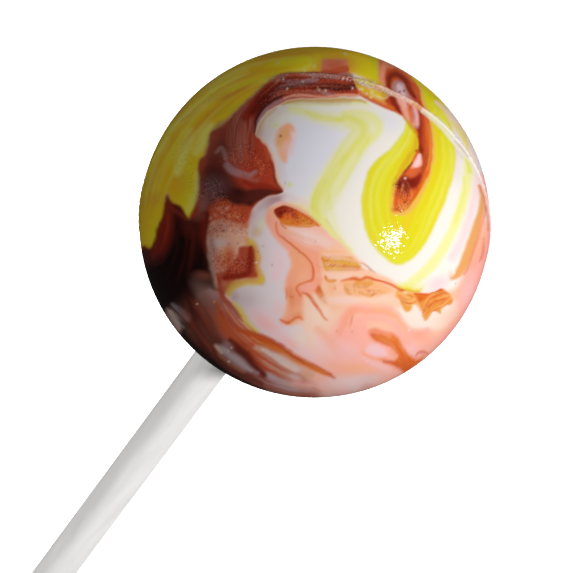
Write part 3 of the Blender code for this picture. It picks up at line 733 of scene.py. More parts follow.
def paintCurl():
    # the lavender-white curl that runs from the lobe down to the lower left
    pool("lavender", [(290, 194), (283, 194), (271, 195.8), (264, 199), (257, 204), (252.5, 209.5), (250.5, 217),
        (248, 226), (248, 236), (252, 241), (257, 246), (260.5, 256), (260, 268), (264, 279), (260, 284.5),
        (247, 284.5), (238, 287), (232, 292), (230, 297), (234, 303), (239, 308), (244, 313), (249, 322), (256, 330),
        (264, 335), (272, 339.5), (282, 346.5), (294, 352), (304, 350), (306, 340), (304, 330), (298, 324),
        (292, 326), (282, 322), (284, 312), (286, 300), (285, 288), (288, 274), (291, 262), (287, 251), (279, 243),
        (272, 233), (267.5, 222), (267, 213), (270, 206), (280, 202), (291, 203), (298, 200)], edge=1.8, name="curl")
    w = "curl"
    dab("mauve", 274, 198, 9, 4, -10, 0.75, w)
    drag("mauve", [(254, 213, 1.5), (260, 207, 2.5), (268, 202, 3), (277, 200, 3)], 4, 0.6, w)
    dabs(w, ("mauve", 270, 211, 7, 10, 10, 0.4), ("dove", 262, 214, 7, 12, 20, 0.6))
    drag("dove", [(256, 210, 3), (254, 222, 4), (252, 236, 3)], 3, 0.9, w)
    dabs(w, ("mauve", 272, 206, 5, 4, 0, 0.5), ("lilacPink", 279, 265, 9, 12, 0, 0.6))
    drag("lilacPink", [(275, 272, 1.4), (276, 280, 1.8)], 2.5, 0.8, w)
    dabs(w, ("dove", 245, 300, 14, 9, 10, 0.9), ("mauve", 234, 297, 4, 5, 0, 0.45),
        ("dove", 262, 256, 5, 16, 0, 0.35), ("lilacPink", 262, 320, 14, 8, 40, 0.8),
        ("rose", 268, 326, 14, 6, 40, 0.5), ("lilacPink", 284, 338, 12, 7, 35, 0.7), ("rose", 280, 310, 8, 7, 0, 0.3),
        ("rose", 293, 346, 12, 5, 30, 0.6), ("shell", 306, 340, 12, 9, 30, 0.8),
        ("oldGold", 257, 232, 4.5, 5, 20, 0.45), ("paleLemon", 262, 224, 4, 6, 30, 0.3))


def paintLeftPatches():
    # beige and orange ground right of the dark mass
    pool("beige", [(208, 228), (214, 223), (222, 219), (232, 222), (244, 224), (249, 222), (248.5, 232), (247.5, 240),
        (240, 244), (236, 250), (232, 262), (229, 276), (226, 292), (218, 294), (213, 282), (211, 270), (208, 256),
        (206.5, 242)], edge=3.4, name="beige")
    w = "beige"
    dabs(w, ("salmon", 236, 232, 8, 8, 0, 0.3), ("dove", 221, 243, 6, 4, 0, 0.8),
        ("mauve", 212, 246, 3, 12, -10, 0.8), ("cocoa", 214, 230, 9, 5, -20, 0.5), ("rust", 238, 224, 11, 3, 5, 0.4),
        ("shell", 238, 235, 7, 6, 0, 0.22), ("apricot", 226, 252, 7, 7, 0, 0.3), ("mauve", 222, 227, 5, 4, 0, 0.35))
    drag("mauve", [(208.5, 252, 1.2), (211, 262, 1.8), (213, 272, 1.4), (214, 280, 0.8)], 1.5, 0.8, w)
    dabs(w, ("rust", 217, 262, 4, 9, -5, 0.5), ("tangerine", 225, 262, 6, 12, 0, 0.45),
        ("rust", 229, 258, 4, 10, 0, 0.7))
    drag("brick", [(216, 274, 1), (219, 282, 2.2), (220, 290, 2), (224, 298, 1.5), (230, 304, 1.6), (236, 310, 1.6),
        (241, 316, 1)], 1.6, 0.9)
    pool("brick", [(218, 272), (224, 272), (231, 274), (236, 278), (232, 284), (227, 290), (223, 295), (219, 288),
        (217, 280)], edge=2.5, strength=0.85)
    dab("salmon", 224, 284, 3, 3, 0, 0.25)
    # grainy purple grey over rust
    pool("umber", [(203, 172), (212, 168), (226, 174), (236, 188), (234, 198), (222, 201), (212, 208), (203, 214),
        (197, 212), (201, 198)], edge=6, strength=0.7)
    dabs(None, ("ash", 202, 206, 4, 9, 10, 0.4), ("mauve", 208, 192, 10, 12, 0, 0.28),
        ("mauve", 218, 184, 10, 9, 0, 0.14))
    # frosted rust ground over it
    pool("rust", [(212, 206), (222, 200), (232, 205), (244, 207), (250, 212), (249, 220), (243, 223), (232, 220),
        (220, 220), (210, 217)], edge=6, strength=0.85)
    dabs(None, ("brick", 244, 212, 5, 6, 0, 0.8), ("tangerine", 235, 216, 5, 3, 0, 0.5))
    # brick block with its gold fringe
    pool("oldGold", [(246, 238), (253, 240), (258, 246), (260.5, 256), (260, 268), (264.5, 278), (263, 285),
        (252, 284), (240, 286), (233, 291), (229, 296), (226, 290), (232, 280), (250, 276), (252, 258), (246, 248)],
        edge=3, strength=0.7)
    drag("gold", [(229, 295, 1), (233, 289, 2), (242, 285, 2), (256, 284, 2), (262, 280, 1.4)], 2.4, 0.45)
    dabs(None, ("gold", 252, 241, 4, 2.5, 30, 0.4), ("gold", 262, 278, 3.5, 5, -10, 0.4),
        ("rust", 230, 266, 9, 12, 10, 0.6))
    pool("brick", [(239, 247), (247, 246), (252, 246.5), (255, 250), (255.5, 262), (256, 270), (257.5, 276),
        (254, 278), (240, 279), (228, 281), (221, 277), (226, 270), (232, 264), (237, 256)], edge=2.2, strength=0.95)
    drag("oxblood", [(251, 247, 1.6), (250.5, 256, 3), (249, 264, 3.2), (249, 272, 3), (240, 275.5, 3),
        (230, 276, 2.5), (224, 278, 1.5)], 2, 0.9)
    dabs(None, ("rust", 233, 262, 4, 9, 0, 0.5), ("rust", 240, 262, 3, 7, 0, 0.35))
    # the lower left, from black to rust
    pool("umber", [(150, 280), (188, 280), (197, 296), (199, 316), (202, 334), (211, 348), (224, 362), (238, 376),
        (262, 392), (290, 404), (200, 404), (140, 330)], edge=9)
    drag("ash", [(203, 292, 3), (206, 308, 5), (210, 324, 6), (218, 338, 5), (230, 350, 3)], 6, 0.4)
    drag("umber", [(202, 296, 3), (204, 312, 6), (209, 328, 7), (216, 342, 6), (228, 352, 4)], 6, 0.55)
    # dark mass at the left, with its flame tips
    pool("umber", [(130, 262), (142, 250), (150, 249), (155, 241), (157, 230), (163, 218), (165, 206), (167.5, 195),
        (171.5, 203), (179, 207), (185, 215), (190, 219.5), (196, 217), (200, 214), (206, 211), (209, 214),
        (208, 226), (206.5, 236), (207, 250), (209.5, 264), (211.5, 274), (214.5, 284), (217, 292), (206, 290),
        (196, 296), (192, 312), (190, 330), (150, 330), (132, 290)], edge=3, name="dark")
    w = "dark"
    dab("oxblood", 166, 222, 9, 22, 5, 0.95, w, 0.2)
    dab("brick", 170, 224, 5, 14, -5, 0.3, w)
    dab("oxblood", 158, 242, 9, 13, 5, 0.6, w, 0.2)
    drag("brick", [(167.5, 197, 0.8), (168.5, 206, 1.8), (174, 211, 2), (180, 214, 1.6), (186, 219, 0.8)], 2.6, 0.55,
        w)
    dab("maroon", 194, 228, 12, 12, 0, 0.5, w)
    pool("soot", [(175, 214), (180, 222), (184, 234), (198, 240), (205, 252), (207, 268), (212, 284), (196, 300),
        (190, 330), (150, 335), (134, 290), (142, 268), (156, 262), (168, 250), (172, 232)], edge=7, strength=0.93,
        within=w)
    drag("oxblood", [(204, 214, 2), (204, 226, 2.4), (204, 240, 2.2), (206, 252, 1.6)], 2.4, 0.6, w)
    comb(("brick", "maroon", "oxblood", "umber"), [(167, 200, 1), (166, 216, 6), (162, 236, 9), (156, 256, 9)], 18,
        31, 0.3, 1.4, 0.5, w)
    comb(("maroon", "soot", "umber"), [(178, 210, 5), (186, 226, 14), (188, 248, 16), (180, 280, 20)], 22, 32, 0.25,
        1.6, 0.8, w)
    dabs(w, ("cocoa", 197, 215, 6, 5, 0, 0.5), ("cocoa", 203, 276, 8, 4, 10, 0.6))
    dab("umber", 196, 302, 9, 12, -20, 0.6)
    # glassy grey that fades out of the black
    dabs(None, ("ash", 200, 290, 6, 11, -35, 0.5), ("ash", 209, 294, 9, 9, 40, 0.55),
        ("ash", 203, 306, 6, 10, -10, 0.3), ("rust", 212, 322, 7, 12, -30, 0.3))
    drag("mauve", [(209, 291, 1.4), (216, 297, 3), (224, 304, 3), (231, 310, 2.6), (238, 317, 1.4)], 3, 0.75)
    dabs(None, ("soot", 190, 334, 10, 16, -40, 0.3), ("ash", 190, 330, 7, 12, -40, 0.16),
        ("ash", 184, 308, 9, 9, -30, 0.1))
    # painted shade: a dark line just inside the ball's outline at the lower left, where the stick comes out
    drag("soot", [(166, 312, 0.6), (184, 336, 1.6), (206, 358, 2.4), (228, 374, 2.4), (252, 386, 1.6),
        (276, 394, 0.6)], 1.6, 0.9)
    # pale glassy streaks on the dark side
    pool("ash", [(167, 309), (174, 310), (179, 317), (181, 326), (179, 333), (172, 324), (166, 316)], edge=3.8)
    dab("dove", 173, 319, 3.4, 8, -30, 0.5)
    drag("shell", [(171, 312, 1), (175, 319, 2.2), (178, 328, 1.8)], 3.2, 0.5)
    drag("dove", [(173, 306, 1), (180, 312, 3), (187, 318, 2.6)], 4, 0.45)
    comb(("dove", "umber", "soot"), [(166, 304, 4), (176, 314, 8), (188, 328, 6)], 18, 33, 0.45, 0.7, 0.4)
    comb(("umber", "rust", "maroon"), [(186, 296, 8), (196, 318, 13), (212, 342, 13), (232, 362, 8)], 26, 35, 0.22,
        1.8, 0.6)


def paintLowerStreaks():
    # long drawn streaks from the lower left to the bottom
    pool("rust", [(217, 314), (226, 314), (236, 322), (248, 330), (260, 335), (272, 341), (284, 349), (270, 357),
        (258, 358), (246, 352), (232, 344), (221, 332)], edge=5)
    comb(("brick", "burntOrange", "rust", "salmon", "cocoa"), [(218, 296, 3), (226, 312, 6), (242, 330, 9),
        (260, 346, 9), (280, 362, 7)], 36, 41, 0.45, 0.9, 0.5)
    drag("brick", [(218, 290, 1.4), (222, 299, 2), (229, 306, 1.8), (236, 313, 1.4), (242, 320, 0.8)], 1.6, 0.75)
    drag("brick", [(222, 312, 1.4), (229, 320, 2.4), (238, 328, 2.2), (248, 333, 2)], 2.4, 0.6)
    drag("gold", [(235, 304, 1), (240, 309, 2.4), (244, 316, 2.8), (249, 323, 2.2), (257, 331, 1)], 3.4, 0.6)
    # the main streak: deep orange with a darker upper line and a tan lower side
    drag("burntOrange", [(238, 330, 1), (250, 334, 2.2), (262, 339, 3), (274, 346, 3.2), (286, 352.5, 3),
        (298, 359.5, 3), (309, 365.5, 3), (320, 370.5, 2.8), (329, 375, 2.2), (335, 379, 0.6)], 1.8, 0.92)
    drag("amber", [(256, 343, 1.4), (266, 347, 3), (278, 351.5, 3), (290, 357.5, 2), (302, 364, 1.8),
        (314, 369.5, 1.6), (326, 375, 1.6)], 2, 0.4)
    drag("brick", [(250, 331.5, 0.5), (262, 336.5, 0.9), (273, 342.5, 1.1), (283, 349, 1.1), (295, 356.5, 1),
        (305, 362.5, 0.8), (313, 366.5, 0.5)], 1.1, 0.6)
    comb(("brick", "amber", "rust", "burntOrange"), [(244, 332, 4), (262, 340, 6), (284, 352, 5), (306, 364, 4),
        (326, 374, 3)], 16, 44, 0.4, 0.7, 0.3)
    drag("tangerine", [(300, 362, 0.8), (310, 367, 1.2), (320, 371.5, 1.4), (330, 376, 1.2)], 1.4, 0.5)
    # pale streaks under it
    drag("beige", [(256, 348, 1.5), (264, 352, 3.4), (274, 358, 4.6), (286, 363, 4.6), (298, 369, 4), (312, 375, 3)],
        3.4, 0.95)
    drag("shell", [(262, 351, 1), (272, 357, 3), (284, 363, 3.4), (296, 369, 2.6)], 3, 0.7)
    drag("dove", [(266, 352, 1.5), (278, 358.5, 3), (290, 364, 2.6), (300, 370, 1.4)], 3, 0.6)
    drag("rust", [(246, 348, 3), (256, 355, 2.8), (266, 361, 1.4), (276, 367, 1), (286, 373, 0.5)], 1.8, 0.6)
    comb(("rust", "beige", "brick", "cocoa"), [(250, 352, 5), (264, 361, 6), (280, 371, 5), (296, 379, 3)], 18, 43,
        0.4, 0.8, 0.4)
    drag("beige", [(262, 364, 1.4), (272, 370, 2.4), (284, 374.5, 3), (298, 380, 3)], 3, 0.6)
    drag("rust", [(248, 357, 2.6), (258, 363, 2.8), (268, 370, 2.4), (278, 375.5, 1.8), (288, 381, 1.2),
        (296, 385, 0.6)], 1.8, 0.9)
    drag("brick", [(256, 362, 0.8), (266, 369, 1.2), (276, 375, 1), (284, 379, 0.5)], 1, 0.6)
    dab("lavender", 295, 377, 6, 2.4, 20, 0.5)
    drag("dove", [(268, 376, 2), (280, 382, 4), (294, 386, 4), (310, 388, 3)], 4, 0.7)
    drag("rose", [(296, 384, 4), (320, 388, 6), (345, 390, 5)], 5, 0.6)
    dabs(None, ("shell", 347, 384, 24, 6, -4, 0.5), ("lilacPink", 350, 383, 20, 5, -4, 0.6))
    drag("cocoa", [(256, 383, 2.4), (270, 389, 3), (286, 394.5, 2.4), (306, 398, 1)], 3, 0.75)
    comb(("brick", "beige", "cocoa", "dove"), [(252, 376, 4), (270, 385, 6), (292, 391, 6), (316, 393, 4)], 18, 45,
        0.3, 0.9, 0.4)
    # glassy blob, with the dark maroon beside it
    drag("maroon", [(230, 341, 1.4), (238, 348, 3.8), (247, 357, 4.6), (255, 367, 3.8), (264, 376, 2)], 3.4, 0.9)
    drag("umber", [(236, 350, 1), (244, 357, 2.2), (251, 366, 1.6)], 2.4, 0.4)
    drag("maroon", [(214, 350, 1), (222, 360, 3), (234, 369, 4), (250, 378, 3), (262, 384, 1)], 3, 0.6)
    drag("mauve", [(216, 346, 1), (223, 350, 3.2), (231, 357, 4.2), (240, 364, 4.2), (249, 369.5, 3), (257, 374, 1)],
        2.8, 1.0)
    dabs(None, ("dove", 224, 350, 4, 3, 30, 0.6), ("dove", 237, 360, 10, 4, 36, 0.45))
    drag("dove", [(219, 348, 0.8), (226, 353, 2.4), (234, 359, 2.6), (243, 365.5, 2), (251, 370.5, 0.8)], 2.6, 0.6)
    drag("salmon", [(214.5, 345, 0.8), (217.5, 349, 1.8), (220, 355, 1.4), (226, 361, 1.2), (234, 367, 1.4),
        (244, 371.5, 1)], 2.2, 0.35)
    drag("shell", [(215.5, 345.5, 0.6), (219, 349.5, 1.2), (221.5, 353, 0.8)], 1.4, 0.7)
    dab("mauve", 227, 345.5, 4.6, 3, 20, 0.85)


def paintOvalPatch():
    drag("paleLemon", [(290, 203, 1), (299, 206.5, 2), (308, 211, 2.6), (316, 217, 2.6), (326, 226, 2),
        (336, 237, 1)], 2.6, 0.7)
    drag("honey", [(285, 204, 0.5), (294, 206.5, 1), (304, 211.5, 1.2), (313, 217.5, 1.2), (321, 225, 0.6)], 1.2, 0.6)
    drag("salmon", [(268, 222, 1.5), (270, 212, 2.4), (276, 205.5, 1.6), (284, 203.5, 1)], 2.6, 0.6)
    drag("rose", [(276, 203, 0.6), (286, 203.5, 1.8), (298, 207, 1.8), (308, 212.5, 1)], 2, 0.5)
    pool("tangerine", [(273.5, 211), (277, 207.5), (283, 205.3), (289, 206.5), (297, 210), (305, 214), (311, 217.5),
        (316, 222), (320, 226), (314, 226), (306, 227.5), (294, 226.8), (285, 225.5), (281, 222), (277, 217.5)],
        edge=1.1, name="oval")
    w = "oval"
    pool("oxblood", [(272, 210), (280, 203), (290, 205), (297, 209.5), (291, 212), (284, 214), (282, 218),
        (276, 217)], edge=2, strength=0.95, within=w)
    drag("brick", [(286, 209, 2), (293, 213, 3), (297, 218, 2)], 2, 0.8, w)
    drag("burntOrange", [(289, 206.5, 0.7), (297, 210, 1.1), (305, 214.5, 1), (312, 219, 0.8), (319, 225.5, 0.6)],
        0.8, 0.9, w)
    dabs(w, ("amber", 306, 222, 8, 4, 15, 0.6), ("amber", 288, 222, 6, 2.5, 0, 0.5))
    drag("honey", [(284, 226, 0.6), (294, 226, 1), (305, 226, 1.1), (314, 224.5, 0.8)], 1, 0.6)
    drag("burntOrange", [(280.5, 222, 0.6), (283, 226.5, 0.9), (287, 229, 0.5)], 0.8, 0.7)


def paintSwirl():
    # salmon swirl in the middle
    pool("salmon", [(268, 214), (270, 210), (274, 216), (279, 222), (284, 228), (300, 229), (318, 229), (330, 236),
        (340, 246), (330, 252), (321, 256), (322, 268), (324, 280), (318, 290), (311, 294), (304, 294), (302, 306),
        (303, 318), (296, 322), (286, 325), (280, 322), (286, 314), (288, 302), (285, 290), (288, 276), (292, 264),
        (288, 252), (280, 243), (273, 234), (268, 224)], edge=4.6, name="swirl")
    w = "swirl"
    pool("peach", [(286, 229), (300, 230), (318, 230), (331, 238), (340, 247), (326, 252), (318, 250), (308, 246),
        (297, 240), (289, 234)], edge=4, strength=0.9)
    dabs(None, ("shell", 303, 232, 10, 4, 8, 0.55), ("lilacPink", 300, 238, 8, 4, 30, 0.3),
        ("lilacPink", 312, 238, 22, 8, 20, 0.6))
    comb(("cream", "salmon", "lilacPink", "honey"), [(284, 230, 3), (300, 236, 6), (318, 242, 7), (338, 250, 4)], 22,
        61, 0.35, 0.8, 0.5)
    dabs(w, ("apricot", 299, 268, 8, 14, 10, 0.4), ("apricot", 296, 250, 8, 6, 35, 0.4),
        ("peach", 303, 278, 5, 6, 0, 0.35), ("rose", 309, 288, 7, 4, 0, 0.6), ("amber", 291, 298, 4, 9, -5, 0.35),
        ("tangerine", 291, 298, 4, 9, -5, 0.35), ("tangerine", 300, 297, 3, 8, -5, 0.25),
        ("apricot", 297, 312, 6, 7, 0, 0.4), ("tangerine", 298, 316, 5, 3, -10, 0.35))
    dab("salmon", 316, 258, 6, 10, -20, 0.5)
    drag("rose", [(271, 216, 1), (274, 228, 2.4), (281, 240, 2.4), (290, 250, 2)], 2.4, 0.5, w)
    # thin orange line that outlines the swirl
    drag("tangerine", [(276.5, 222, 0.5), (276.8, 229, 0.8), (280, 235.5, 0.9), (287, 241, 1), (293, 247, 1),
        (300, 252, 1), (306, 256.5, 1), (310.5, 262, 1.1), (313, 269, 1.4), (313, 276, 1.5), (311, 281, 1.4),
        (305, 282.5, 1), (300, 284.5, 1.2), (297, 288, 1.3), (298, 292, 1.2), (301, 296, 0.8)], 1.0, 0.75)
    drag("rust", [(281, 236, 0.4), (288, 241.5, 0.6), (295, 248, 0.6), (302, 253, 0.6), (309, 259.5, 0.6),
        (313, 268, 0.6), (313, 277, 0.6)], 0.7, 0.5)
    drag("rust", [(287, 289, 0.4), (287, 295, 0.7), (286, 300, 0.5)], 1, 0.4)
    dab("rust", 291, 296.5, 2, 0.9, 0, 0.5)
    drag("tangerine", [(303, 292.5, 1), (307, 294.5, 1.6), (311, 298, 2), (314.5, 303, 2), (318, 308, 1.7),
        (321.5, 313, 1.4), (325, 318, 0.9), (328, 320, 0.4)], 1.4, 0.75)
    drag("burntOrange", [(305, 293, 0.4), (309, 296, 0.8), (313, 301, 0.9), (317, 306.5, 0.7)], 0.9, 0.6)
    drag("tangerine", [(302.5, 320, 0.4), (300, 317.5, 1.1), (296.5, 318, 1), (292, 321, 1.2), (287, 323, 1.6),
        (282, 321.5, 1.2), (279.5, 320, 0.5)], 1.2, 0.8)
    drag("rust", [(285, 323.3, 0.5), (289, 323.6, 0.8)], 1, 0.5)
    pool("tangerine", [(317, 288), (319.5, 286), (322, 290), (325, 296), (329, 301), (326, 304), (321, 301),
        (318, 297), (315, 291)], edge=1.8, strength=0.8)
    dabs(None, ("burntOrange", 320, 290, 2, 4, -20, 0.6), ("honey", 326, 298, 6, 6, 30, 0.6))


def paintStripedArea():
    pool("peach", [(322, 252), (332, 246), (342, 245), (352, 254), (362, 262), (372, 271), (384, 276), (395, 283),
        (398, 296), (400, 308), (392, 306), (378, 305), (358, 304), (345, 306), (335, 312), (328, 305), (326, 296),
        (323, 280), (322, 266)], edge=3)
    dabs(None, ("shell", 340, 276, 16, 3, 0, 0.6), ("shell", 350, 300, 26, 3.4, 0, 0.7),
        ("shell", 385, 299, 12, 5, 10, 0.5), ("lilacPink", 342, 301, 12, 3, 0, 0.3))
    drag("apricot", [(319, 252, 0.6), (332, 251.5, 1), (344, 252.5, 0.6)], 1, 0.6)
    pool("honey", [(321, 256), (327, 257.5), (338, 257), (350, 257), (354, 258.5), (358, 262), (361, 266),
        (358, 269.5), (348, 270), (336, 270), (326, 271), (324, 266)], edge=1.3)
    drag("amber", [(326, 261, 0.6), (336, 261.5, 1.2), (348, 262, 1.4), (356, 263, 0.8)], 1, 0.5)
    comb(("amber", "cream", "rust", "gold", "apricot"), [(320, 263, 5), (334, 263.5, 6.5), (348, 264, 6.5),
        (362, 266, 4)], 22, 62, 0.4, 0.6, 0.3)
    drag("amber", [(322, 258, 0.8), (324, 263, 1.4), (326, 268.5, 1.2)], 1, 0.8)
    drag("tangerine", [(321, 258, 0.5), (324, 260, 0.8), (327, 260.5, 0.8), (329, 259.5, 0.4)], 0.7, 0.8)
    drag("rust", [(322, 256, 0.3), (327, 257.3, 0.5), (333, 256.2, 0.4), (339, 256.6, 0.4), (352, 256.8, 0.4)], 0.6,
        0.5)
    drag("rust", [(328, 265.3, 0.4), (332, 265.2, 0.9), (336, 264.8, 0.4)], 0.7, 0.8)
    drag("burntOrange", [(329, 268, 0.4), (338, 266, 0.5), (346, 265.8, 0.6), (357, 266, 0.7), (361, 266.5, 0.4)],
        0.6, 0.5)
    drag("burntOrange", [(328, 270.5, 0.4), (340, 269.6, 0.5), (352, 270.3, 0.6), (362, 269.8, 0.5), (370, 270, 0.4)],
        0.6, 0.55)
    dabs(None, ("burntOrange", 344.5, 264.5, 1.6, 0.9, 0, 0.6), ("burntOrange", 358, 268.5, 2, 0.8, 0, 0.5))
    drag("cream", [(360, 264.5, 0.6), (364, 268, 1.8), (367, 270, 0.8)], 1, 0.9)
    drag("ash", [(360.5, 263, 0.4), (365, 265.5, 0.7), (370, 269.5, 0.8), (375.5, 273.5, 0.3)], 0.7, 0.75)
    # second row: dark line with amber patches under it
    pool("apricot", [(342, 280), (352, 279), (364, 279), (376, 281), (384, 284), (392, 290), (386, 294), (376, 297),
        (364, 297), (352, 295), (346, 290), (342, 285)], edge=2.5, strength=0.8)
    drag("amber", [(325, 277, 0.8), (327.5, 280.5, 1.6), (332, 281.5, 1.8), (336, 280, 0.8)], 1, 0.9)
    dabs(None, ("tangerine", 325.5, 278, 1.2, 2, -20, 0.8), ("tangerine", 333.5, 281, 2, 0.9, -10, 0.5),
        ("apricot", 332, 288, 4, 5, 0, 0.6), ("rust", 335, 288.5, 1, 1.6, 0, 0.4))
    drag("tangerine", [(341, 280.5, 0.5), (347, 278.8, 1.3), (354, 278, 1.8), (360, 279.5, 1.3), (366, 277.8, 1.7),
        (372, 278.8, 1.5), (378, 280.5, 1), (385, 281.8, 0.9), (392, 285, 1), (398, 288.5, 1.3), (403, 290.5, 1.2),
        (406, 291, 0.5)], 1, 0.9)
    drag("burntOrange", [(350, 278.5, 0.5), (356, 279, 0.8), (361, 279.8, 0.5), (367, 278, 0.8), (375, 280, 0.6),
        (385, 282, 0.7), (393, 286, 0.8), (401, 290, 1)], 0.8, 0.75)
    pool("amber", [(355, 281), (364, 281), (372, 282), (373, 285), (366, 286), (360, 284.5), (357, 287), (354, 284)],
        edge=1.1, strength=0.8)
    drag("amber", [(345, 285, 0.5), (345.5, 289, 1.4), (349, 293.5, 1.6), (352, 294.5, 0.6)], 1.1, 0.7)
    drag("amber", [(357, 288, 0.5), (361, 286.5, 0.8), (368, 285.8, 0.7)], 0.8, 0.5)
    drag("rust", [(360, 287.5, 0.4), (364, 288, 1), (368, 291, 0.5)], 0.9, 0.35)
    drag("amber", [(359, 292, 0.5), (364, 294.5, 0.9), (370, 296, 1.1), (374, 294.5, 1), (379, 292.5, 0.6),
        (385, 293, 0.5)], 0.9, 0.75)
    dabs(None, ("rust", 373.5, 295, 1.6, 0.8, -20, 0.6), ("rust", 368.5, 291, 1.2, 0.8, 0, 0.6),
        ("rust", 373, 290, 1.6, 0.8, 0, 0.35))


def paintToothedPatch():
    drag("gold", [(397, 286, 0.6), (403, 288.5, 1.6), (410, 290, 2.4), (417, 290.5, 2), (422, 289, 1)], 1.6, 0.8)
    drag("brightLemon", [(398, 283, 1), (406, 286.5, 2.6), (415, 287.5, 3), (424, 285.5, 1.6)], 2.4, 0.4)
    drag("oldGold", [(406, 289.5, 0.5), (413, 291.5, 1), (420, 291.8, 0.7)], 1, 0.7)
    pool("honey", [(397, 290), (404, 291), (414, 293), (417, 298), (419, 306), (420, 311), (416, 306), (413, 305.5),
        (411, 311.5), (406, 312.5), (402, 307), (399, 300), (395, 296)], edge=1.4, name="tooth")
    drag("amber", [(399, 296, 0.8), (402, 303, 2), (406, 308.5, 2.6), (410, 308.5, 1.6)], 1.4, 0.9, "tooth")
    drag("burntOrange", [(399.5, 298, 0.4), (404, 302.5, 0.7), (408, 303.8, 0.7), (411, 302, 0.5), (414, 299.5, 0.4)],
        0.7, 0.6)
    drag("burntOrange", [(400, 295, 0.4), (405, 299, 0.6), (409, 300, 0.6), (413, 297, 0.5)], 0.7, 0.5)
    drag("amber", [(402, 293, 0.4), (406, 296.5, 0.7), (410, 296.5, 0.6), (413, 294.5, 0.4)], 0.7, 0.5)
    dabs(None, ("burntOrange", 402, 290, 3.4, 1.4, 10, 0.9), ("cream", 405.3, 292.6, 1.8, 1.2, 0, 0.6),
        ("burntOrange", 410.5, 304.5, 1.2, 0.8, 0, 0.5))
    pool("amber", [(414, 293.5), (420, 293), (430, 293), (436, 291.5), (441, 288.5), (446, 290.5), (450.5, 294.5),
        (453, 300), (451, 304), (446, 306.5), (442, 309), (441, 314.5), (438, 312.5), (434, 311.5), (431, 315),
        (428, 319), (425, 321.5), (422.5, 315), (420, 308), (417, 300)], edge=1.2, name="teeth")
    w = "teeth"
    dab("tangerine", 430, 306, 9, 9, 0, 0.35, w)
    drag("tangerine", [(415, 294, 1), (422, 296, 3.4), (431, 295.5, 3.4), (438, 292.5, 3), (443, 291, 2)], 1.6, 0.85,
        w)
    drag("burntOrange", [(415, 293.5, 0.6), (422, 293.6, 1), (430, 293.6, 1), (436, 292, 1.3), (441, 289.6, 0.9)],
        0.9, 0.9, w)
    dabs(w, ("burntOrange", 420, 299, 3, 2.4, -30, 0.9), ("brick", 438.5, 291.5, 2.4, 1.2, -25, 0.7))
    drag("tangerine", [(418, 302, 1), (420, 309, 1), (423, 316, 0.8)], 1.2, 0.5, w)
    dabs(w, ("tangerine", 445, 300, 4.5, 4, 0, 0.7), ("apricot", 446, 295, 3, 2, 20, 0.5))
    drag("honey", [(424, 309, 0.4), (428, 304, 1), (433, 299, 0.8)], 0.9, 0.7, w)
    drag("rust", [(424, 311.5, 0.4), (427.5, 308, 0.7), (430, 304.5, 0.5)], 0.7, 0.6, w)
    drag("burntOrange", [(425, 314, 0.4), (428, 313, 0.6), (430, 311, 0.4)], 0.7, 0.5, w)
    comb(("burntOrange", "honey", "rust", "apricot", "amber"), [(450, 297, 4), (440, 300, 8), (431, 306, 8),
        (424, 319, 4)], 34, 52, 0.7, 0.55, 1.3, w)
    comb(("burntOrange", "honey", "apricot"), [(397, 292, 3), (404, 297, 4), (411, 300, 5), (416, 298, 3)], 14, 53,
        0.55, 0.5, 1.2, "tooth")
    # frosted spot where the orange stripe ends
    dabs(None, ("apricot", 451, 276, 2.5, 4, 0, 0.6), ("milk", 453.5, 283, 2.4, 2.6, 0, 0.9),
        ("ash", 452, 278, 1.4, 1, 0, 0.5), ("ash", 456, 283.5, 0.8, 1.2, 0, 0.5),
        ("milk", 454, 272.5, 1.4, 1.4, 0, 0.6))


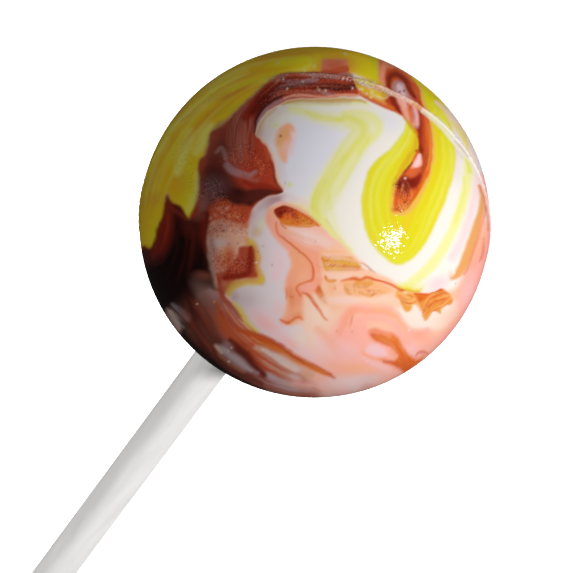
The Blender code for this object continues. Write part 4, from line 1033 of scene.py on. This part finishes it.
def paintLowerSwirl():
    # rose arch and orange hook at the lower right
    drag("rose", [(338, 335, 3), (344, 322, 4.5), (350, 312, 4.6), (362, 309.5, 4.4), (376, 311, 4.4),
        (388, 311, 4.4), (396, 316, 3.6), (402, 325, 3.4), (410, 332, 3.4), (420, 333, 3), (428, 331, 2)], 3.6, 0.85)
    drag("salmon", [(346, 326, 1), (348, 316, 2.4), (356, 311, 2.4), (370, 312, 1.6), (384, 313, 1.6), (394, 317, 1)],
        2.6, 0.7)
    drag("salmon", [(340, 334, 1.4), (343, 324, 2.6), (348, 314, 2.6), (356, 309, 1.4)], 3, 0.6)
    drag("apricot", [(372, 310, 1.2), (384, 311, 2), (392, 314, 1.6), (399, 322, 1.4), (405, 330, 1)], 2, 0.6)
    drag("salmon", [(350, 310, 0.6), (352, 318, 1.4), (350, 328, 1.2)], 1.5, 0.5)
    drag("rust", [(352.5, 316, 0.4), (351.5, 320, 0.8), (350, 325, 0.4)], 1.2, 0.4)
    drag("rose", [(356, 332, 2), (358, 321, 4), (370, 318.5, 3.4), (384, 319.5, 3.6), (394, 325, 3.4),
        (402, 336, 3.4), (410, 345, 4), (416, 352, 3)], 3, 0.75)
    dabs(None, ("lilacPink", 412, 350, 5, 6, 40, 0.5), ("salmon", 420, 336, 8, 4, 10, 0.6))
    drag("salmon", [(318, 330, 3), (326, 338, 5), (338, 350, 5), (352, 358, 3)], 5, 0.5)
    dab("lilacPink", 346, 352, 12, 9, 20, 0.5)
    drag("rose", [(364, 326, 2.4), (366, 333, 2.6), (368, 338, 1.6)], 2, 0.8)
    pool("tangerine", [(369, 331), (376, 329.5), (384, 332), (392, 334), (398, 338), (401, 344), (405, 351),
        (411, 356), (418, 359), (424, 356), (421, 362), (412, 369), (405, 373), (400, 369), (392, 366), (384, 363),
        (380, 360), (390, 361), (396, 359), (395, 352), (390, 347), (383, 344), (376, 341), (371, 337)], edge=2.8,
        name="lowHook")
    comb(("salmon", "burntOrange", "honey", "tangerine"), [(370, 333, 3), (382, 338, 5), (394, 344, 6), (402, 356, 7),
        (408, 366, 6)], 20, 51, 0.28, 0.8, 0.9, "lowHook")
    w = "lowHook"
    drag("burntOrange", [(372, 334, 0.8), (380, 338, 1.6), (388, 343, 2.2), (394, 348, 2), (399, 356, 2.4),
        (406, 361, 2)], 2.4, 0.15, w)
    drag("amber", [(393, 336, 1), (399, 343, 1.8), (404, 351, 1.8), (411, 357, 1)], 1.5, 0.3, w)
    drag("salmon", [(368, 331, 1.6), (374, 332, 2.4), (382, 333, 2), (390, 335.5, 1)], 2.4, 0.6, w)
    drag("apricot", [(383, 336, 0.4), (389, 338.4, 0.6), (394, 340, 0.4)], 0.7, 0.5, w)
    dabs(w, ("rust", 405, 366, 9, 4, 25, 0.35), ("rust", 374, 335, 2.6, 1, 0, 0.6))
    drag("rust", [(381, 360, 0.5), (386, 361.5, 1.4), (393, 363.5, 1.6), (399, 366, 1)], 1.3, 0.5)
    drag("rust", [(381, 360, 0.4), (384, 362.5, 0.7)], 0.8, 0.6)
    drag("salmon", [(390, 352, 2), (395, 356, 2.6), (394, 360, 1.6)], 1.6, 0.7)
    pool("lilacPink", [(369, 345), (375, 344), (381, 347), (386, 351), (387, 356), (380, 357), (371, 355),
        (366, 351)], edge=3, strength=0.8)
    drag("salmon", [(362, 352, 0.8), (370, 358, 2), (379, 360, 2), (387, 358.5, 1.4)], 1.6, 0.7)
    drag("lilacPink", [(364, 358, 1), (372, 363, 2), (381, 367, 2.4), (390, 371, 2)], 2.2, 0.5)
    drag("rust", [(416, 356, 0.4), (419, 353, 1.2), (424, 352.5, 1.4), (428, 354, 0.6)], 1.2, 0.7)
    drag("salmon", [(416, 360, 0.8), (421, 357.5, 1.4), (427, 356, 1)], 1.2, 0.6)
    dabs(None, ("dove", 372, 378, 14, 4, -12, 0.4), ("apricot", 352, 368, 18, 4, 5, 0.4),
        ("rust", 368, 388, 7, 4, -15, 0.3), ("lilacPink", 322, 345, 10, 6, 40, 0.4),
        ("lilacPink", 305, 352, 8, 3.5, 30, 0.5))


def paintSeamAndGlints():
    specks("rust", ((212, 226), (217, 223), (221, 227), (226, 222), (231, 226), (236, 223), (241, 227), (246, 225),
        (215, 231), (224, 230), (234, 231), (209, 233), (218, 258), (224, 262), (229, 255)), 1.9, 0.5)
    specks("beige", ((216, 216), (223, 213), (230, 216), (238, 217), (211, 219), (227, 208), (219, 209)), 1.6, 0.45)
    # a pale wedge between the seam and the outline, with a yellow stripe down it
    drag("shell", [(436, 102, 0.6), (443, 108, 2), (450, 116, 3.6), (457, 126, 4.6), (465, 138, 4.6), (472, 150, 3.6),
        (478, 162, 2)], 2.6, 0.75)
    drag("lime", [(452, 122, 0.5), (458, 130, 1.6), (464, 139, 1.8), (469, 148, 1)], 1.8, 0.6)
    drag("pearl", [(470, 146, 0.8), (476, 158, 1.6), (481, 170, 1)], 1.6, 0.6)
    # a pale worn, frosted line along the mould seam, partly a painted highlight where the raised seam catches the
    # lamp, with a painted shade line under its lower end
    drag("salmon", [(376, 87, 0.8), (384, 88.5, 1.6), (390, 92, 2), (397, 95.5, 2.2), (405, 99.5, 2), (413, 104, 2),
        (420, 108.5, 2), (426, 112, 1.4)], 1.5, 0.75)
    drag("shell", [(380, 87.5, 0.8), (388, 91, 1.2), (396, 95, 1.4), (404, 99, 1.2), (412, 103, 0.8)], 1.4, 0.7)
    drag("honey", [(412, 103, 0.5), (419, 107.5, 1), (425, 111.5, 0.8)], 1, 0.7)
    # frost with a painted highlight of the ridge along it
    drag("milk", [(422, 110.5, 0.8), (430, 116, 2.4), (437, 121, 3), (445, 129, 3.4), (453, 138, 3.4),
        (461, 147.5, 3.2), (468, 156.5, 2.6), (474, 166, 1.6), (479, 176, 0.8)], 1.6, 0.92)
    drag("paleLemon", [(424, 112, 0.8), (431, 117, 1.8), (439, 123.5, 2), (446, 131, 1.6), (451, 137, 0.6)], 1.6,
        0.35)
    # painted shade on the side of the seam's ridge that faces away from the lamp
    drag("ash", [(455, 141, 0.4), (462, 149, 0.6), (468, 157, 0.5)], 0.9, 0.5)
    specks("brightLemon", ((434.5, 112.5), (442, 115.5), (265, 80.5)), 2)
    # the cream specks are painted glints: the lamp caught in tiny bubbles and pits in the candy
    specks("cream", ((303, 81), (326, 91), (320, 90.5), (343, 79), (347, 79.5), (352, 89), (359, 89.5), (283.5, 79),
        (287, 88.5), (405, 178), (197, 304), (228, 362), (256, 263), (228, 351), (392, 93), (293, 135), (402, 97),
        (423, 111), (416, 104), (367, 93), (363, 85), (375, 83), (365, 81), (229, 362), (231.5, 348.5), (409, 330)),
        0.9)
    specks("paleLemon", ((315, 66), (278, 63), (345, 54), (305, 70), (372, 92), (371, 97), (362, 89)), 1.6, 0.8)
    specks("honey", ((385, 95), (313, 77), (318, 89), (214, 302)), 1.0, 0.7)
    specks("maroon", ((280.5, 135.5), (404, 91), (400, 91.5), (414, 96), (416, 151)), 1.2, 0.8)
    specks("umber", ((247, 233), (258, 252), (218, 236), (229, 244), (224, 231), (238, 243), (212, 240)), 0.8, 0.5)
    specks("ash", ((263, 246), (272, 265), (321, 297), (352, 332), (337, 331), (285, 183), (315, 242), (299, 253)),
        0.9, 0.55)


def roughenShownSide():
    # chipped sugar along the seam over the top
    rough("frost", [(266, 80, 1.5), (282, 75, 2.5), (300, 74, 3), (320, 75.5, 4), (336, 77, 4), (350, 79, 5),
        (362, 83, 5), (374, 87, 5.5), (386, 91, 4.5), (398, 96, 3.4), (410, 102, 2.6), (422, 110, 2)], 0.47)
    rough("frost", [(310, 90, 2), (318, 91, 3.4), (326, 90, 2)], 0.45)
    rough("frost", [(426, 112, 1), (440, 122, 2.4), (456, 138, 2.4), (470, 155, 1.6)], 0.42)
    rough("frost", [(212, 204, 4), (222, 208, 6), (236, 214, 5), (226, 222, 6)], 0.4, 5)
    # granular patches
    rough("grain", [(200, 196, 5), (210, 186, 9), (218, 198, 10), (224, 210, 10), (238, 216, 8)], 1.0, 5)
    rough("grain", [(230, 156, 10), (248, 158, 14), (262, 170, 9)], 0.7, 6)
    rough("grain", [(212, 232, 5), (224, 228, 8), (240, 230, 6)], 0.8, 5)
    rough("grain", [(214, 250, 6), (222, 262, 10), (236, 266, 10), (248, 262, 6)], 0.8, 4)
    rough("grain", [(284, 212, 5), (298, 218, 7), (311, 223, 3)], 0.7, 2)
    rough("grain", [(398, 184, 6), (404, 196, 7), (400, 208, 5)], 0.8, 3)
    rough("grain", [(262, 98, 8), (284, 88, 10), (312, 86, 10), (348, 86, 9)], 0.7, 4)
    rough("grain", [(178, 160, 8), (184, 146, 8), (192, 200, 6)], 0.35, 5)
    rough("grain", [(328, 263, 3), (345, 264, 5), (358, 264, 3)], 0.25, 2)
    rough("grain", [(350, 288, 4), (366, 290, 5), (380, 292, 3)], 0.5, 3)


def paintShownSide():
    paintGrounds()
    paintYellow()
    paintDarkBand()
    paintLobe()
    paintCurl()
    paintSwirl()
    paintOvalPatch()
    paintStripedArea()
    paintRightSide()
    paintHook()
    paintLeftPatches()
    paintLowerStreaks()
    paintLowerSwirl()
    paintToothedPatch()
    paintSeamAndGlints()
    roughenShownSide()


# How the colours wander, and what happens past the edge of the shown side.
marbling = {
    "coarseWander": (1.3, 16),  # how far a stroke's edge strays, and over what length, in picture pixels
    "fineWander": (1.1, 5),
    "edgeTurn": math.radians(86.4),  # the outline of the shown side, from the line of sight
    "drawnOut": 0.5,  # how fast the shown colours run on past it
    "fadeFrom": math.radians(96),  # where the far side's own marbling starts to show
    "fadeTo": math.radians(112),
    "fadeEase": 0.05,
    "farSwirl": 0.7,
    "farBend": 50,  # how far the far side's strokes bend, in picture pixels
    "farCurl": 14,  # and curl, over a shorter length
}


def paintFarSide():
    # drawn as if the ball were seen through: the stick comes out at the lower left here too
    pool("peach", [(80, -20), (560, -20), (560, 460), (80, 460)], edge=3)
    pool("milk", [(330, 130), (400, 120), (450, 160), (480, 210), (470, 260), (420, 270), (360, 250), (330, 200)],
        edge=9)
    pool("rose", [(420, 250), (500, 200), (520, 300), (460, 380), (380, 420), (360, 360), (400, 300)], edge=14)
    pool("olive", [(110, 260), (140, 250), (170, 225), (190, 190), (230, 170), (260, 140), (300, 130), (340, 120),
        (380, 130), (430, 120), (470, 110), (400, 30), (300, 20), (180, 60), (110, 160)], edge=5, name="farYellow")
    dabs("farYellow", ("oliveGreen", 250, 100, 40, 18, -30, 0.8), ("bronze", 190, 160, 26, 12, -40, 0.7))
    drag("amber", [(180, 190, 2), (220, 150, 5), (280, 115, 4), (360, 100, 1)], 4, 0.6, "farYellow")
    drag("paleOlive", [(160, 190, 2), (200, 140, 5), (260, 95, 5), (340, 80, 2)], 5, 0.7, "farYellow")
    pool("umber", [(130, 260), (170, 235), (200, 230), (235, 250), (250, 290), (270, 330), (280, 390), (200, 400),
        (130, 330)], edge=6, name="farDark")
    dab("soot", 190, 300, 30, 44, -30, 0.8, "farDark")
    drag("oxblood", [(160, 245, 3), (200, 245, 6), (225, 270, 5), (240, 310, 3)], 5, 0.8, "farDark")
    drag("brick", [(236, 250, 2), (256, 290, 5), (268, 330, 5), (284, 380, 3)], 4, 0.9)
    drag("rust", [(262, 330, 2), (290, 350, 7), (330, 368, 8), (380, 380, 3)], 5, 0.8)
    drag("brick", [(190, 205, 2), (220, 190, 8), (262, 172, 11), (300, 168, 9), (340, 180, 7), (372, 205, 4),
        (388, 235, 1)], 3, 0.95)
    drag("oxblood", [(205, 200, 1), (240, 184, 4), (280, 170, 5), (320, 172, 4), (356, 192, 2)], 3, 0.8)
    drag("salmon", [(200, 215, 2), (240, 198, 4), (290, 184, 4), (335, 196, 4), (362, 222, 2)], 3, 0.8)
    drag("lavender", [(215, 228, 3), (260, 208, 9), (310, 206, 10), (340, 228, 9), (345, 262, 6), (330, 290, 2)], 5,
        0.95)
    drag("gold", [(250, 244, 2), (290, 232, 5), (312, 244, 5), (314, 272, 4), (300, 296, 2)], 3, 0.8)
    drag("tangerine", [(262, 262, 1), (288, 250, 3.5), (296, 270, 4), (286, 296, 3), (268, 312, 1)], 2, 0.9)
    drag("burntOrange", [(330, 310, 1), (362, 300, 4), (392, 312, 4), (410, 336, 3), (404, 362, 1)], 3, 0.9)
    drag("salmon", [(318, 322, 2), (352, 320, 5), (384, 332, 5), (392, 356, 3)], 4, 0.8)
    drag("paleLemon", [(384, 160, 2), (400, 200, 5), (420, 240, 6), (452, 268, 4), (486, 280, 2)], 4, 0.8)
    drag("amber", [(486, 190, 2), (470, 230, 5), (440, 262, 5), (420, 296, 3)], 3, 0.8)


def wander(directions, seed):
    total = 0
    for amount, length in (marbling["coarseWander"], marbling["fineWander"]):
        points = directions * shot["ballWide"] / length + seed
        total = total + amount * (latticeNoise(points, seed) - 0.5)
    return total


def candyColours(directions):
    side = directions @ towardCamera
    turn = np.arccos(np.clip(side, -1, 1))
    across = directions - side[:, None] * towardCamera
    across /= np.maximum(np.linalg.norm(across, axis=1), 1e-9)[:, None]

    # past the outline the shown colours carry on a little way, drawn out along the surface
    past = np.maximum(0, turn - marbling["edgeTurn"])
    shownTurn = np.where(past > 0, marbling["edgeTurn"] - marbling["drawnOut"] * past, turn)
    x, y = inPicture(np.cos(shownTurn)[:, None] * towardCamera + np.sin(shownTurn)[:, None] * across)
    front = turn < marbling["fadeTo"]
    freshCanvas((x + wander(directions, 11))[front], (y + wander(directions, 12))[front])
    paintShownSide()
    paint = {"colour": np.ones((len(x), 3)), "frost": np.zeros(len(x)), "grain": np.zeros(len(x))}
    for kind, values in paint.items():
        values[front] = canvas[kind]

    # the far side, laid out flat round the point behind the ball's centre
    swirl = marbling["farSwirl"] * (turn - marbling["fadeFrom"])
    right, up = across @ pictureRight, across @ pictureUp
    flat = shot["ballWide"] * (math.pi - turn) / (math.pi / 2)
    farX = shot["ballSpot"][0] + flat * (right * np.cos(swirl) + up * np.sin(swirl))
    farY = shot["ballSpot"][1] - flat * (up * np.cos(swirl) - right * np.sin(swirl))
    back = turn > marbling["fadeFrom"]
    bend = [latticeNoise(directions * 5 + k, 20 + k) - 0.5 for k in (1, 2)]
    curl = [latticeNoise(directions * 14 + k, 24 + k) - 0.5 for k in (1, 2)]
    far, near = marbling["farBend"], marbling["farCurl"]
    freshCanvas((farX + far * bend[0] + near * curl[0])[back], (farY + far * bend[1] + near * curl[1])[back])
    paintFarSide()
    edge = marbling["fadeFrom"] + (marbling["fadeTo"] - marbling["fadeFrom"]) * latticeNoise(directions * 9 + 3, 31)
    cover = ease(-marbling["fadeEase"], marbling["fadeEase"], turn[back] - edge[back])[:, None]
    paint["colour"][back] += (canvas["colour"] - paint["colour"][back]) * cover
    for kind in ("frost", "grain"):
        paint[kind][back] *= 1 - cover[:, 0]
    return paint


# What the candy is made of, by its looks. Sizes are in bumps or specks per metre, heights in metres.
candyFinish = {
    "roughness": 0.12,
    "wornRoughness": 0.25,  # more of it where there is frost or grain
    "bodyIor": 1.5,
    "glaze": 0.5,  # a clear outer skin
    "glazeRoughness": 0.03,
    "peelSize": 2500,  # of the skin's orange peel
    "peelHeight": 0.000012,
    "facetSize": 8000,  # the skin is made of tiny facets, which break the lamp's reflection into sparkles
    "facetTilt": 0.1,
    "grainSize": 5000,
    "grainDark": (0.35, 0.3, 0.32, 1),
    "darkRamp": (-6.0, 3.0),  # slope and start of the dark specks over the noise, and of the light ones
    "grainLight": (0.22, 0.17, 0.16, 1),
    "lightRamp": (9.0, -5.2),
    "grainHeight": 0.00003,
    "frostSize": 4200,
    "frostColour": (0.82, 0.72, 0.66, 1),
    "frostFrom": 0.98,  # noise and frost together have to pass this
    "frostContrast": 7.0,
    "frostHeight": 0.00005,
}


def socket(node, name, value):
    node.inputs[name].default_value = value


def newMaterial(name):
    material = bpy.data.materials.new(name)
    material.use_nodes = True
    tree = material.node_tree
    return material, tree.nodes, tree.links, tree.nodes["Principled BSDF"]


def candyMaterial():
    material, nodes, links, shader = newMaterial("glassyCandy")

    def node(kind, **values):
        made = nodes.new("ShaderNode" + kind)
        for name, value in values.items():
            if name in ("operation", "data_type", "blend_type", "attribute_name"):
                setattr(made, name, value)
            else:
                socket(made, name, value)
        return made

    def feed(made, values):
        # values by socket number: a number or colour is set, an output is linked
        for k, value in values.items():
            if isinstance(value, (int, float, tuple)):
                socket(made, k, value)
            else:
                links.new(value, made.inputs[k])

    def calc(operation, *values):
        made = node("Math", operation=operation)
        feed(made, dict(enumerate(values)))
        return made.outputs[0]

    place = node("TexCoord").outputs["Object"]

    def noise(scale, detail=2.0, roughness=0.5):
        made = node("TexNoise", Scale=scale, Detail=detail, Roughness=roughness)
        links.new(place, made.inputs["Vector"])
        return made.outputs["Fac"]

    def stored(name):
        return node("Attribute", attribute_name=name).outputs

    def blend(kind, amount, first, second):
        made = node("Mix", data_type="RGBA", blend_type=kind)
        feed(made, {0: amount, 6: first, 7: second})
        return made.outputs[2]

    def clipped(value):
        return calc("MINIMUM", calc("MAXIMUM", value, 0.0), 1.0)

    def vector(operation, *values):
        made = node("VectorMath", operation=operation)
        feed(made, dict(enumerate(values)))
        return made.outputs[0]

    def bumped(height):
        made = node("Bump", Distance=1.0, Strength=1.0)
        links.new(height, made.inputs["Height"])
        return made.outputs["Normal"]

    pigment = stored("pigment")["Color"]
    frost = stored("frost")["Fac"]
    grain = stored("grain")["Fac"]
    seam = stored("offSeam")["Fac"]

    # grain: fine dark and light specks in the rough patches
    fine = noise(candyFinish["grainSize"], 3.0, 0.7)
    dark = calc("MAXIMUM", calc("MULTIPLY_ADD", fine, *candyFinish["darkRamp"]), 0.0)
    dark = calc("MULTIPLY", calc("SMOOTH_MIN", dark, 1.0, 0.2), grain)
    light = calc("MULTIPLY", clipped(calc("MULTIPLY_ADD", fine, *candyFinish["lightRamp"])), grain)
    colour = blend("MULTIPLY", dark, pigment, candyFinish["grainDark"])
    colour = blend("SCREEN", light, colour, candyFinish["grainLight"])

    # frost: chipped, whitish sugar, in specks that crowd together where there is more of it
    specks = noise(candyFinish["frostSize"], 4.0, 0.75)
    over = calc("SUBTRACT", calc("ADD", specks, frost), candyFinish["frostFrom"])
    chips = clipped(calc("MULTIPLY", over, candyFinish["frostContrast"]))
    colour = blend("MIX", chips, colour, candyFinish["frostColour"])
    links.new(colour, shader.inputs["Base Color"])

    # the seam's arch stands (1 - x^2)^2 high, where x is the distance from its middle over its half width
    x = calc("DIVIDE", seam, ballMake["seamHalfWidth"])
    arch = calc("POWER", calc("MAXIMUM", calc("SUBTRACT", 1.0, calc("MULTIPLY", x, x)), 0.0), 2.0)
    frostRelief = calc("MULTIPLY", chips, candyFinish["frostHeight"])
    grainRelief = calc("MULTIPLY", calc("MULTIPLY", fine, grain), candyFinish["grainHeight"])
    relief = calc("ADD", calc("MULTIPLY", arch, ballMake["seamHeight"]), frostRelief)
    relief = calc("ADD", relief, grainRelief)
    links.new(bumped(relief), shader.inputs["Normal"])

    # the glaze: fine orange peel on top of all that, and each facet of it tilted a little its own way
    peelRelief = calc("MULTIPLY", noise(candyFinish["peelSize"]), candyFinish["peelHeight"])
    peel = bumped(calc("ADD", relief, peelRelief))
    facets = node("TexVoronoi", Scale=candyFinish["facetSize"])
    links.new(place, facets.inputs["Vector"])
    most = candyFinish["facetTilt"]
    tilt = vector("MULTIPLY_ADD", facets.outputs["Color"], (most, most, most), (-most / 2, -most / 2, -most / 2))
    links.new(vector("NORMALIZE", vector("ADD", peel, tilt)), shader.inputs["Coat Normal"])

    worn = calc("MAXIMUM", chips, grain)
    roughness = calc("MULTIPLY_ADD", worn, candyFinish["wornRoughness"], candyFinish["roughness"])
    links.new(roughness, shader.inputs["Roughness"])
    socket(shader, "IOR", candyFinish["bodyIor"])
    socket(shader, "Specular IOR Level", 0.0)
    socket(shader, "Coat Weight", candyFinish["glaze"])
    socket(shader, "Coat Roughness", candyFinish["glazeRoughness"])
    return material


def makeBall():
    points, faces, directions, normals, offSeam = ballSurface()
    ball = meshFrom("marbledBall", points, faces, normals)
    paint = candyColours(directions)
    storeColour(ball, "pigment", paint["colour"])
    for name, value in (("frost", paint["frost"]), ("grain", paint["grain"]), ("offSeam", offSeam)):
        storeValue(ball, name, value)
    ball.data.materials.append(candyMaterial())
    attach(ball, "root")
    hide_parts("candy_ball")
    print("ball:", len(faces), "triangles")
    return ball


# The rolled paper stick.
stickMake = {
    "rings": 500,
    "sides": 96,
    "capRings": 20,
    "cornerRings": 7,
    "fibreDepth": 0.000012,
    "fibresAlong": 120,  # per metre
    "fibresRound": 9,
    "seamStep": 0.00003,  # the edge of the paper's last turn
    "seamTurn": math.radians(70),
    "layers": 5,
    "layerDepth": 0.00005,
    "layerGap": 0.12,  # how much of each layer the groove takes
}


def stickSurface():
    # A profile carried round the axis: rounded ends, straight side. The paper's last turn ends in a fine step
    # along the stick, and long fibres roughen it. On the end face the turns of paper make a shallow spiral.
    radius, end = lolly["stickRadius"], lolly["stickEndRadius"]
    corner = np.linspace(0, np.pi / 2, stickMake["cornerRings"])
    capOut = np.linspace(0, 1, stickMake["capRings"], endpoint=False)[1:] * (radius - end)
    straight = np.linspace(stickStart + end, stickEnd - end, stickMake["rings"])[1:-1]
    along = np.concatenate([np.full(len(capOut), stickStart), stickStart + end * (1 - np.cos(corner)), straight,
                            stickEnd - end + end * np.sin(corner), np.full(len(capOut), stickEnd)])
    out = np.concatenate([capOut, radius - end + end * np.sin(corner), np.full(len(straight), radius),
                          radius - end + end * np.cos(corner), capOut[::-1]])
    around = np.linspace(0, 2 * np.pi, stickMake["sides"], endpoint=False)
    a, o = along[:, None] + 0 * around, out[:, None] + 0 * around
    t = around[None, :] + 0 * a
    turns = [wave(t).ravel() * stickMake["fibresRound"] + 20 for wave in (np.cos, np.sin)]
    fibre = latticeNoise(np.stack([a.ravel() * stickMake["fibresAlong"], *turns], 1), 41)
    step = np.mod(t - stickMake["seamTurn"], 2 * np.pi) / (2 * np.pi)
    onSide = ease(0.7, 1.0, o / radius)
    o = o - onSide * (stickMake["fibreDepth"] * fibre.reshape(a.shape) + stickMake["seamStep"] * step)
    spiral = np.mod(o / radius * stickMake["layers"] - t / (2 * np.pi), 1)
    groove = stickMake["layerDepth"] * np.exp(-((spiral - 0.5) / stickMake["layerGap"]) ** 2) * (1 - onSide)
    a = a + np.where(a > 0.5 * stickEnd, -groove, groove)
    points = (ballCentre + a[..., None] * alongStick
              + (o * np.cos(t))[..., None] * aboveStick + (o * np.sin(t))[..., None] * besideStick)
    rows, sides = a.shape
    ends = [ballCentre + reach * alongStick for reach in (stickStart, stickEnd)]
    points = np.concatenate([points.reshape(-1, 3), ends])
    k, s = np.arange(rows - 1)[:, None] * sides, np.arange(sides)[None, :]
    nextS = (s + 1) % sides
    p, q, r, u = (k + s).ravel(), (k + nextS).ravel(), (k + sides + nextS).ravel(), (k + sides + s).ravel()
    last = (rows - 1) * sides
    s, nextS = s.ravel(), nextS.ravel()
    faces = np.concatenate([np.stack([p, r, q], 1), np.stack([p, u, r], 1),
                            np.stack([np.full(sides, rows * sides), s, nextS], 1),
                            np.stack([np.full(sides, rows * sides + 1), last + nextS, last + s], 1)])
    inner = np.clip((points[faces].mean(1) - ballCentre) @ alongStick, stickStart + radius, stickEnd - radius)
    return points, facingOut(points, faces, ballCentre + inner[:, None] * alongStick)


paperFinish = {
    "dark": (0.80, 0.78, 0.77, 1),
    "light": (0.9, 0.88, 0.87, 1),
    "fibreSize": (60, 900, 900),  # per metre: long along the stick and fine across it
    "fibreHeight": 0.00003,
    "fibreRelief": 0.6,
    "roughness": 0.7,
}


def paperMaterial():
    material, nodes, links, shader = newMaterial("rolledPaper")
    place = nodes.new("ShaderNodeTexCoord")
    turn = nodes.new("ShaderNodeMapping")
    socket(turn, "Rotation", (0, -stickDip, 0))
    socket(turn, "Scale", paperFinish["fibreSize"])
    fibre = nodes.new("ShaderNodeTexNoise")
    socket(fibre, "Scale", 1.0)
    socket(fibre, "Detail", 4.0)
    links.new(place.outputs["Object"], turn.inputs["Vector"])
    links.new(turn.outputs["Vector"], fibre.inputs["Vector"])
    ramp = nodes.new("ShaderNodeValToRGB")
    for stop, position, tone in zip(ramp.color_ramp.elements, (0.3, 0.7), ("dark", "light")):
        stop.position, stop.color = position, paperFinish[tone]
    links.new(fibre.outputs["Fac"], ramp.inputs["Fac"])
    links.new(ramp.outputs["Color"], shader.inputs["Base Color"])
    bump = nodes.new("ShaderNodeBump")
    socket(bump, "Distance", paperFinish["fibreHeight"])
    socket(bump, "Strength", paperFinish["fibreRelief"])
    links.new(fibre.outputs["Fac"], bump.inputs["Height"])
    links.new(bump.outputs["Normal"], shader.inputs["Normal"])
    socket(shader, "Roughness", paperFinish["roughness"])
    return material


def makeStick():
    points, faces = stickSurface()
    stick = meshFrom("paperStick", points, faces)
    stick.data.materials.append(paperMaterial())
    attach(stick, "root")
    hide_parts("stick")
    stick.visible_glossy = False
    print("stick:", len(faces), "triangles")
    return stick


# The studio: brightness in display terms where it says so, sizes in metres.
studio = {
    "keyPlace": (0.768, -0.158, 0.62),  # right, up and back, as the camera sees it
    "keyShare": 0.96,  # of full white on a white face square to the light
    "keyAway": 0.6,
    "keyAngle": math.radians(8.8),
    "around": 0.39,  # even light from everywhere
    "mirrored": 0.015,  # how bright the room looks in the gloss, above
    "mirroredLow": 0.025,  # and below, where the pale floor is
    "horizon": (-0.3, 0.5),  # how far down and up the one turns into the other
    "backdrop": (0.95, 0.95, 0.95, 1),
    "fillPlace": (0.75, -1.0, 0.9),  # a soft light on the stick alone: along, beside and above it
    "fillAway": 0.8,
    "fillSize": 0.6,
    "fillShare": 0.45,
    "floorSize": 3.0,
    "floorTone": (0.95, 0.95, 0.95, 1),
    "floorWash": 5.0,  # the floor's own light
    "washHeight": 2.0,
    "washSize": 2.5,
}


def linkTo(light, name, *objects):
    only = bpy.data.collections.new(name)
    for piece in objects:
        only.objects.link(piece)
    light.light_linking.receiver_collection = only


def softLight(name, place, aim, size, share):
    # share is the brightness that the light gives a white face square to it at the aim
    away = np.linalg.norm(np.subtract(place, aim))
    lamp = bpy.data.lights.new(name, "AREA")
    lamp.shape = "DISK"
    lamp.size = size
    lamp.energy = share * math.pi**2 * away**2
    light = bpy.data.objects.new(name, lamp)
    bpy.context.scene.collection.objects.link(light)
    light.location = place
    light.rotation_euler = Vector(np.subtract(aim, place)).to_track_quat("-Z", "Y").to_euler()
    return light


def lightScene(ball, stick, floor):
    along, beside, above = studio["fillPlace"]
    toFill = unit(along * alongStick + beside * besideStick + above * aboveStick)
    fill = softLight("stickFill", ballCentre + studio["fillAway"] * toFill, ballCentre, studio["fillSize"],
                     studio["fillShare"])
    linkTo(fill, "fillLit", stick)
    right, up, back = studio["keyPlace"]
    toKey = unit(right * pictureRight + up * pictureUp + back * towardCamera)
    size = 2 * studio["keyAway"] * math.tan(studio["keyAngle"] / 2)
    key = softLight("keyLight", ballCentre + studio["keyAway"] * toKey, ballCentre, size, studio["keyShare"])
    linkTo(key, "keyLit", ball, stick)
    wash = softLight("floorWash", (0, 0, studio["washHeight"]), (0, 0, 0), studio["washSize"], studio["floorWash"])
    linkTo(wash, "washLit", floor)

    world = bpy.data.worlds.new("studio")
    bpy.context.scene.world = world
    world.use_nodes = True
    nodes, links = world.node_tree.nodes, world.node_tree.links
    nodes.clear()
    rays = nodes.new("ShaderNodeLightPath")
    way = nodes.new("ShaderNodeTexCoord")
    split = nodes.new("ShaderNodeSeparateXYZ")
    links.new(way.outputs["Generated"], split.inputs["Vector"])
    height = nodes.new("ShaderNodeMapRange")
    low, high = studio["horizon"]
    limits = {"From Min": low, "From Max": high, "To Min": studio["mirroredLow"], "To Max": studio["mirrored"]}
    for name, value in limits.items():
        socket(height, name, value)
    links.new(split.outputs["Z"], height.inputs["Value"])
    gloss = nodes.new("ShaderNodeMix")
    gloss.data_type = "FLOAT"
    socket(gloss, 2, studio["around"])
    links.new(rays.outputs["Is Glossy Ray"], gloss.inputs[0])
    links.new(height.outputs["Result"], gloss.inputs[3])
    around = nodes.new("ShaderNodeBackground")
    links.new(gloss.outputs[0], around.inputs["Strength"])
    behind = nodes.new("ShaderNodeBackground")
    socket(behind, "Color", studio["backdrop"])
    mix = nodes.new("ShaderNodeMixShader")
    links.new(rays.outputs["Is Camera Ray"], mix.inputs["Fac"])
    links.new(around.outputs["Background"], mix.inputs[1])
    links.new(behind.outputs["Background"], mix.inputs[2])
    output = nodes.new("ShaderNodeOutputWorld")
    links.new(mix.outputs["Shader"], output.inputs["Surface"])
    bpy.context.scene.view_settings.view_transform = "Standard"
    print("lights set")


def makeFloor():
    half = studio["floorSize"] / 2
    corners = np.array([(-half, -half, 0), (half, -half, 0), (half, half, 0), (-half, half, 0)], float)
    floor = meshFrom("studioFloor", corners, np.array([(0, 1, 2, 3)]))
    material, _, _, shader = newMaterial("paleFloor")
    socket(shader, "Base Color", studio["floorTone"])
    socket(shader, "Roughness", 0.9)
    socket(shader, "Specular IOR Level", 0.0)
    floor.data.materials.append(material)
    floor.visible_glossy = False
    floor.visible_diffuse = False
    return floor


placeCamera()
ball = makeBall()
stick = makeStick()
floor = makeFloor()
lightScene(ball, stick, floor)
